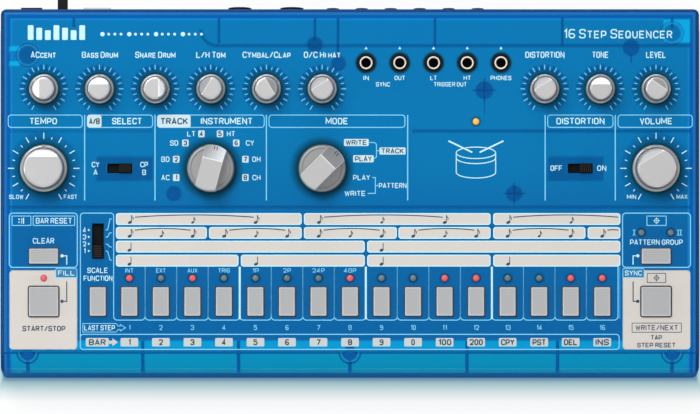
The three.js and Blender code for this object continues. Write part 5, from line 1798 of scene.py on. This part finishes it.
def make_sky():
    """The studio's light from all round: white, and stronger the higher it comes from."""
    world = bpy.data.worlds.new("studio")
    bpy.context.scene.world = world
    world.use_nodes = True
    wires = Wiring(world.node_tree)
    way = wires.new("TexCoord").outputs["Generated"]
    height = wires.new("SeparateXYZ", {0: way}).outputs["Z"]
    wires.fill(wires.nodes["Background"], {
        "Color": (1, 1, 1, 1),
        "Strength": wires.share(height, 0.2, 0.75, smooth=True, ends=(0.2, 0.72))})


def hang_lamp(name, place, size, power):
    """A soft box of light that is turned to the middle of the table."""
    data = bpy.data.lights.new(name, "AREA")
    data.shape = "RECTANGLE"
    data.size, data.size_y = size
    data.energy = power
    lamp = new_object(name, data)
    lamp.location = place
    lamp.rotation_euler = (-Vector(place)).to_track_quat("-Z", "Y").to_euler()


def place_camera():
    """The camera: a long lens, high before the panel, that takes in FRAME_WIDTH metres."""
    data = bpy.data.cameras.new("photograph")
    data.lens = 540.0
    data.sensor_width = 36.0
    data.sensor_fit = "HORIZONTAL"
    data.clip_end = 20.0
    camera = new_object("photograph", data)
    distance = FRAME_WIDTH * data.lens / data.sensor_width
    target = Vector(on_panel([(0.04, -7.25, 0)])[0]) * MM
    elevation = math.radians(84)
    camera.location = target + distance * Vector((0, -math.cos(elevation), math.sin(elevation)))
    camera.rotation_euler = (math.pi / 2 - elevation, 0, 0)
    bpy.context.scene.camera = camera


def build_stage():
    """A pale floor with a faint painted blue reflection and shadow before the case, soft light and
    the camera.
    """
    lay_floor()
    make_sky()
    hang_lamp("key", (-0.5, 0.6, 1.5), (0.6, 0.6), 12.0)
    hang_lamp("rear_box", (0.1, 1.6, 0.4), (0.9, 0.5), 9.0)
    hang_lamp("left_box", (-1.7, -0.1, 0.4), (0.5, 0.5), 6.0)
    hang_lamp("right_box", (1.7, 0, 0.35), (0.4, 0.4), 2.5)
    hang_lamp("front_box", (0.1, -1.6, 0.35), (1.2, 0.4), 5.0)
    place_camera()
    bpy.context.scene.view_settings.view_transform = "Standard"


# Operators and panel


class DRUM_OT_cover(bpy.types.Operator):
    """Builds the clear top cover"""
    bl_idname = "drum_machine.cover"
    bl_label = "Top cover"

    def execute(self, context):
        build_cover()
        return {"FINISHED"}


class DRUM_OT_tray(bpy.types.Operator):
    """Builds the bottom cover with its feet and screws"""
    bl_idname = "drum_machine.tray"
    bl_label = "Bottom cover"

    def execute(self, context):
        build_tray()
        return {"FINISHED"}


class DRUM_OT_insides(bpy.types.Operator):
    """Builds the boards and the ribbon cable"""
    bl_idname = "drum_machine.insides"
    bl_label = "Boards"

    def execute(self, context):
        build_insides()
        return {"FINISHED"}


class DRUM_OT_knobs(bpy.types.Operator):
    """Builds the eleven knobs"""
    bl_idname = "drum_machine.knobs"
    bl_label = "Knobs"

    def execute(self, context):
        build_knobs()
        return {"FINISHED"}


class DRUM_OT_selectors(bpy.types.Operator):
    """Builds the two selectors"""
    bl_idname = "drum_machine.selectors"
    bl_label = "Selectors"

    def execute(self, context):
        build_selectors()
        return {"FINISHED"}


class DRUM_OT_buttons(bpy.types.Operator):
    """Builds the twenty-one buttons"""
    bl_idname = "drum_machine.buttons"
    bl_label = "Buttons"

    def execute(self, context):
        build_buttons()
        return {"FINISHED"}


class DRUM_OT_levers(bpy.types.Operator):
    """Builds the slide levers"""
    bl_idname = "drum_machine.levers"
    bl_label = "Slide levers"

    def execute(self, context):
        build_levers()
        return {"FINISHED"}


class DRUM_OT_lights(bpy.types.Operator):
    """Builds the indicator lights"""
    bl_idname = "drum_machine.lights"
    bl_label = "Lights"

    def execute(self, context):
        build_lights()
        return {"FINISHED"}


class DRUM_OT_jacks(bpy.types.Operator):
    """Builds the five jack sockets of the panel"""
    bl_idname = "drum_machine.jacks"
    bl_label = "Panel jacks"

    def execute(self, context):
        build_panel_jacks()
        return {"FINISHED"}


class DRUM_OT_rear(bpy.types.Operator):
    """Builds the sockets of the rear wall and the power lever"""
    bl_idname = "drum_machine.rear"
    bl_label = "Rear sockets"

    def execute(self, context):
        build_rear_sockets()
        return {"FINISHED"}


class DRUM_OT_seen(bpy.types.Operator):
    """Builds what shows through the clear shell"""
    bl_idname = "drum_machine.seen"
    bl_label = "Seen through the shell"

    def execute(self, context):
        build_seen()
        return {"FINISHED"}


class DRUM_OT_printing(bpy.types.Operator):
    """Builds the printing on the panel"""
    bl_idname = "drum_machine.printing"
    bl_label = "Printing"

    def execute(self, context):
        build_printing()
        return {"FINISHED"}


class DRUM_OT_stage(bpy.types.Operator):
    """Builds the floor, the lamps and the camera"""
    bl_idname = "drum_machine.stage"
    bl_label = "Stage"

    def execute(self, context):
        build_stage()
        return {"FINISHED"}


OPERATORS = (DRUM_OT_cover, DRUM_OT_tray, DRUM_OT_insides, DRUM_OT_rear, DRUM_OT_jacks,
             DRUM_OT_lights, DRUM_OT_levers, DRUM_OT_buttons, DRUM_OT_selectors, DRUM_OT_knobs,
             DRUM_OT_seen, DRUM_OT_printing, DRUM_OT_stage)


class DRUM_PT_pieces(bpy.types.Panel):
    """Lists the drum machine's pieces"""
    bl_idname = "DRUM_PT_pieces"
    bl_label = "Drum machine"
    bl_space_type = "VIEW_3D"
    bl_region_type = "UI"
    bl_category = "Drum machine"

    def draw(self, context):
        for operator in OPERATORS:
            self.layout.operator(operator.bl_idname)


GROUPS = (("drum_case", DrumCaseSizes), ("drum_controls", DrumControlSizes),
          ("drum_colours", DrumColours))


def register():
    for key, group in GROUPS:
        bpy.utils.register_class(group)
        setattr(bpy.types.Scene, key, bpy.props.PointerProperty(type=group))
    for entry in (*OPERATORS, DRUM_PT_pieces):
        bpy.utils.register_class(entry)


def unregister():
    for entry in (DRUM_PT_pieces, *reversed(OPERATORS)):
        bpy.utils.unregister_class(entry)
    for key, group in reversed(GROUPS):
        delattr(bpy.types.Scene, key)
        bpy.utils.unregister_class(group)


def write_sizes():
    """Brings the view layer up to date."""
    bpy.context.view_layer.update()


def main():
    register()
    for operator in OPERATORS:
        group, name = operator.bl_idname.split(".")
        getattr(getattr(bpy.ops, group), name)()
    write_sizes()


if __name__ == "__main__":
    main()
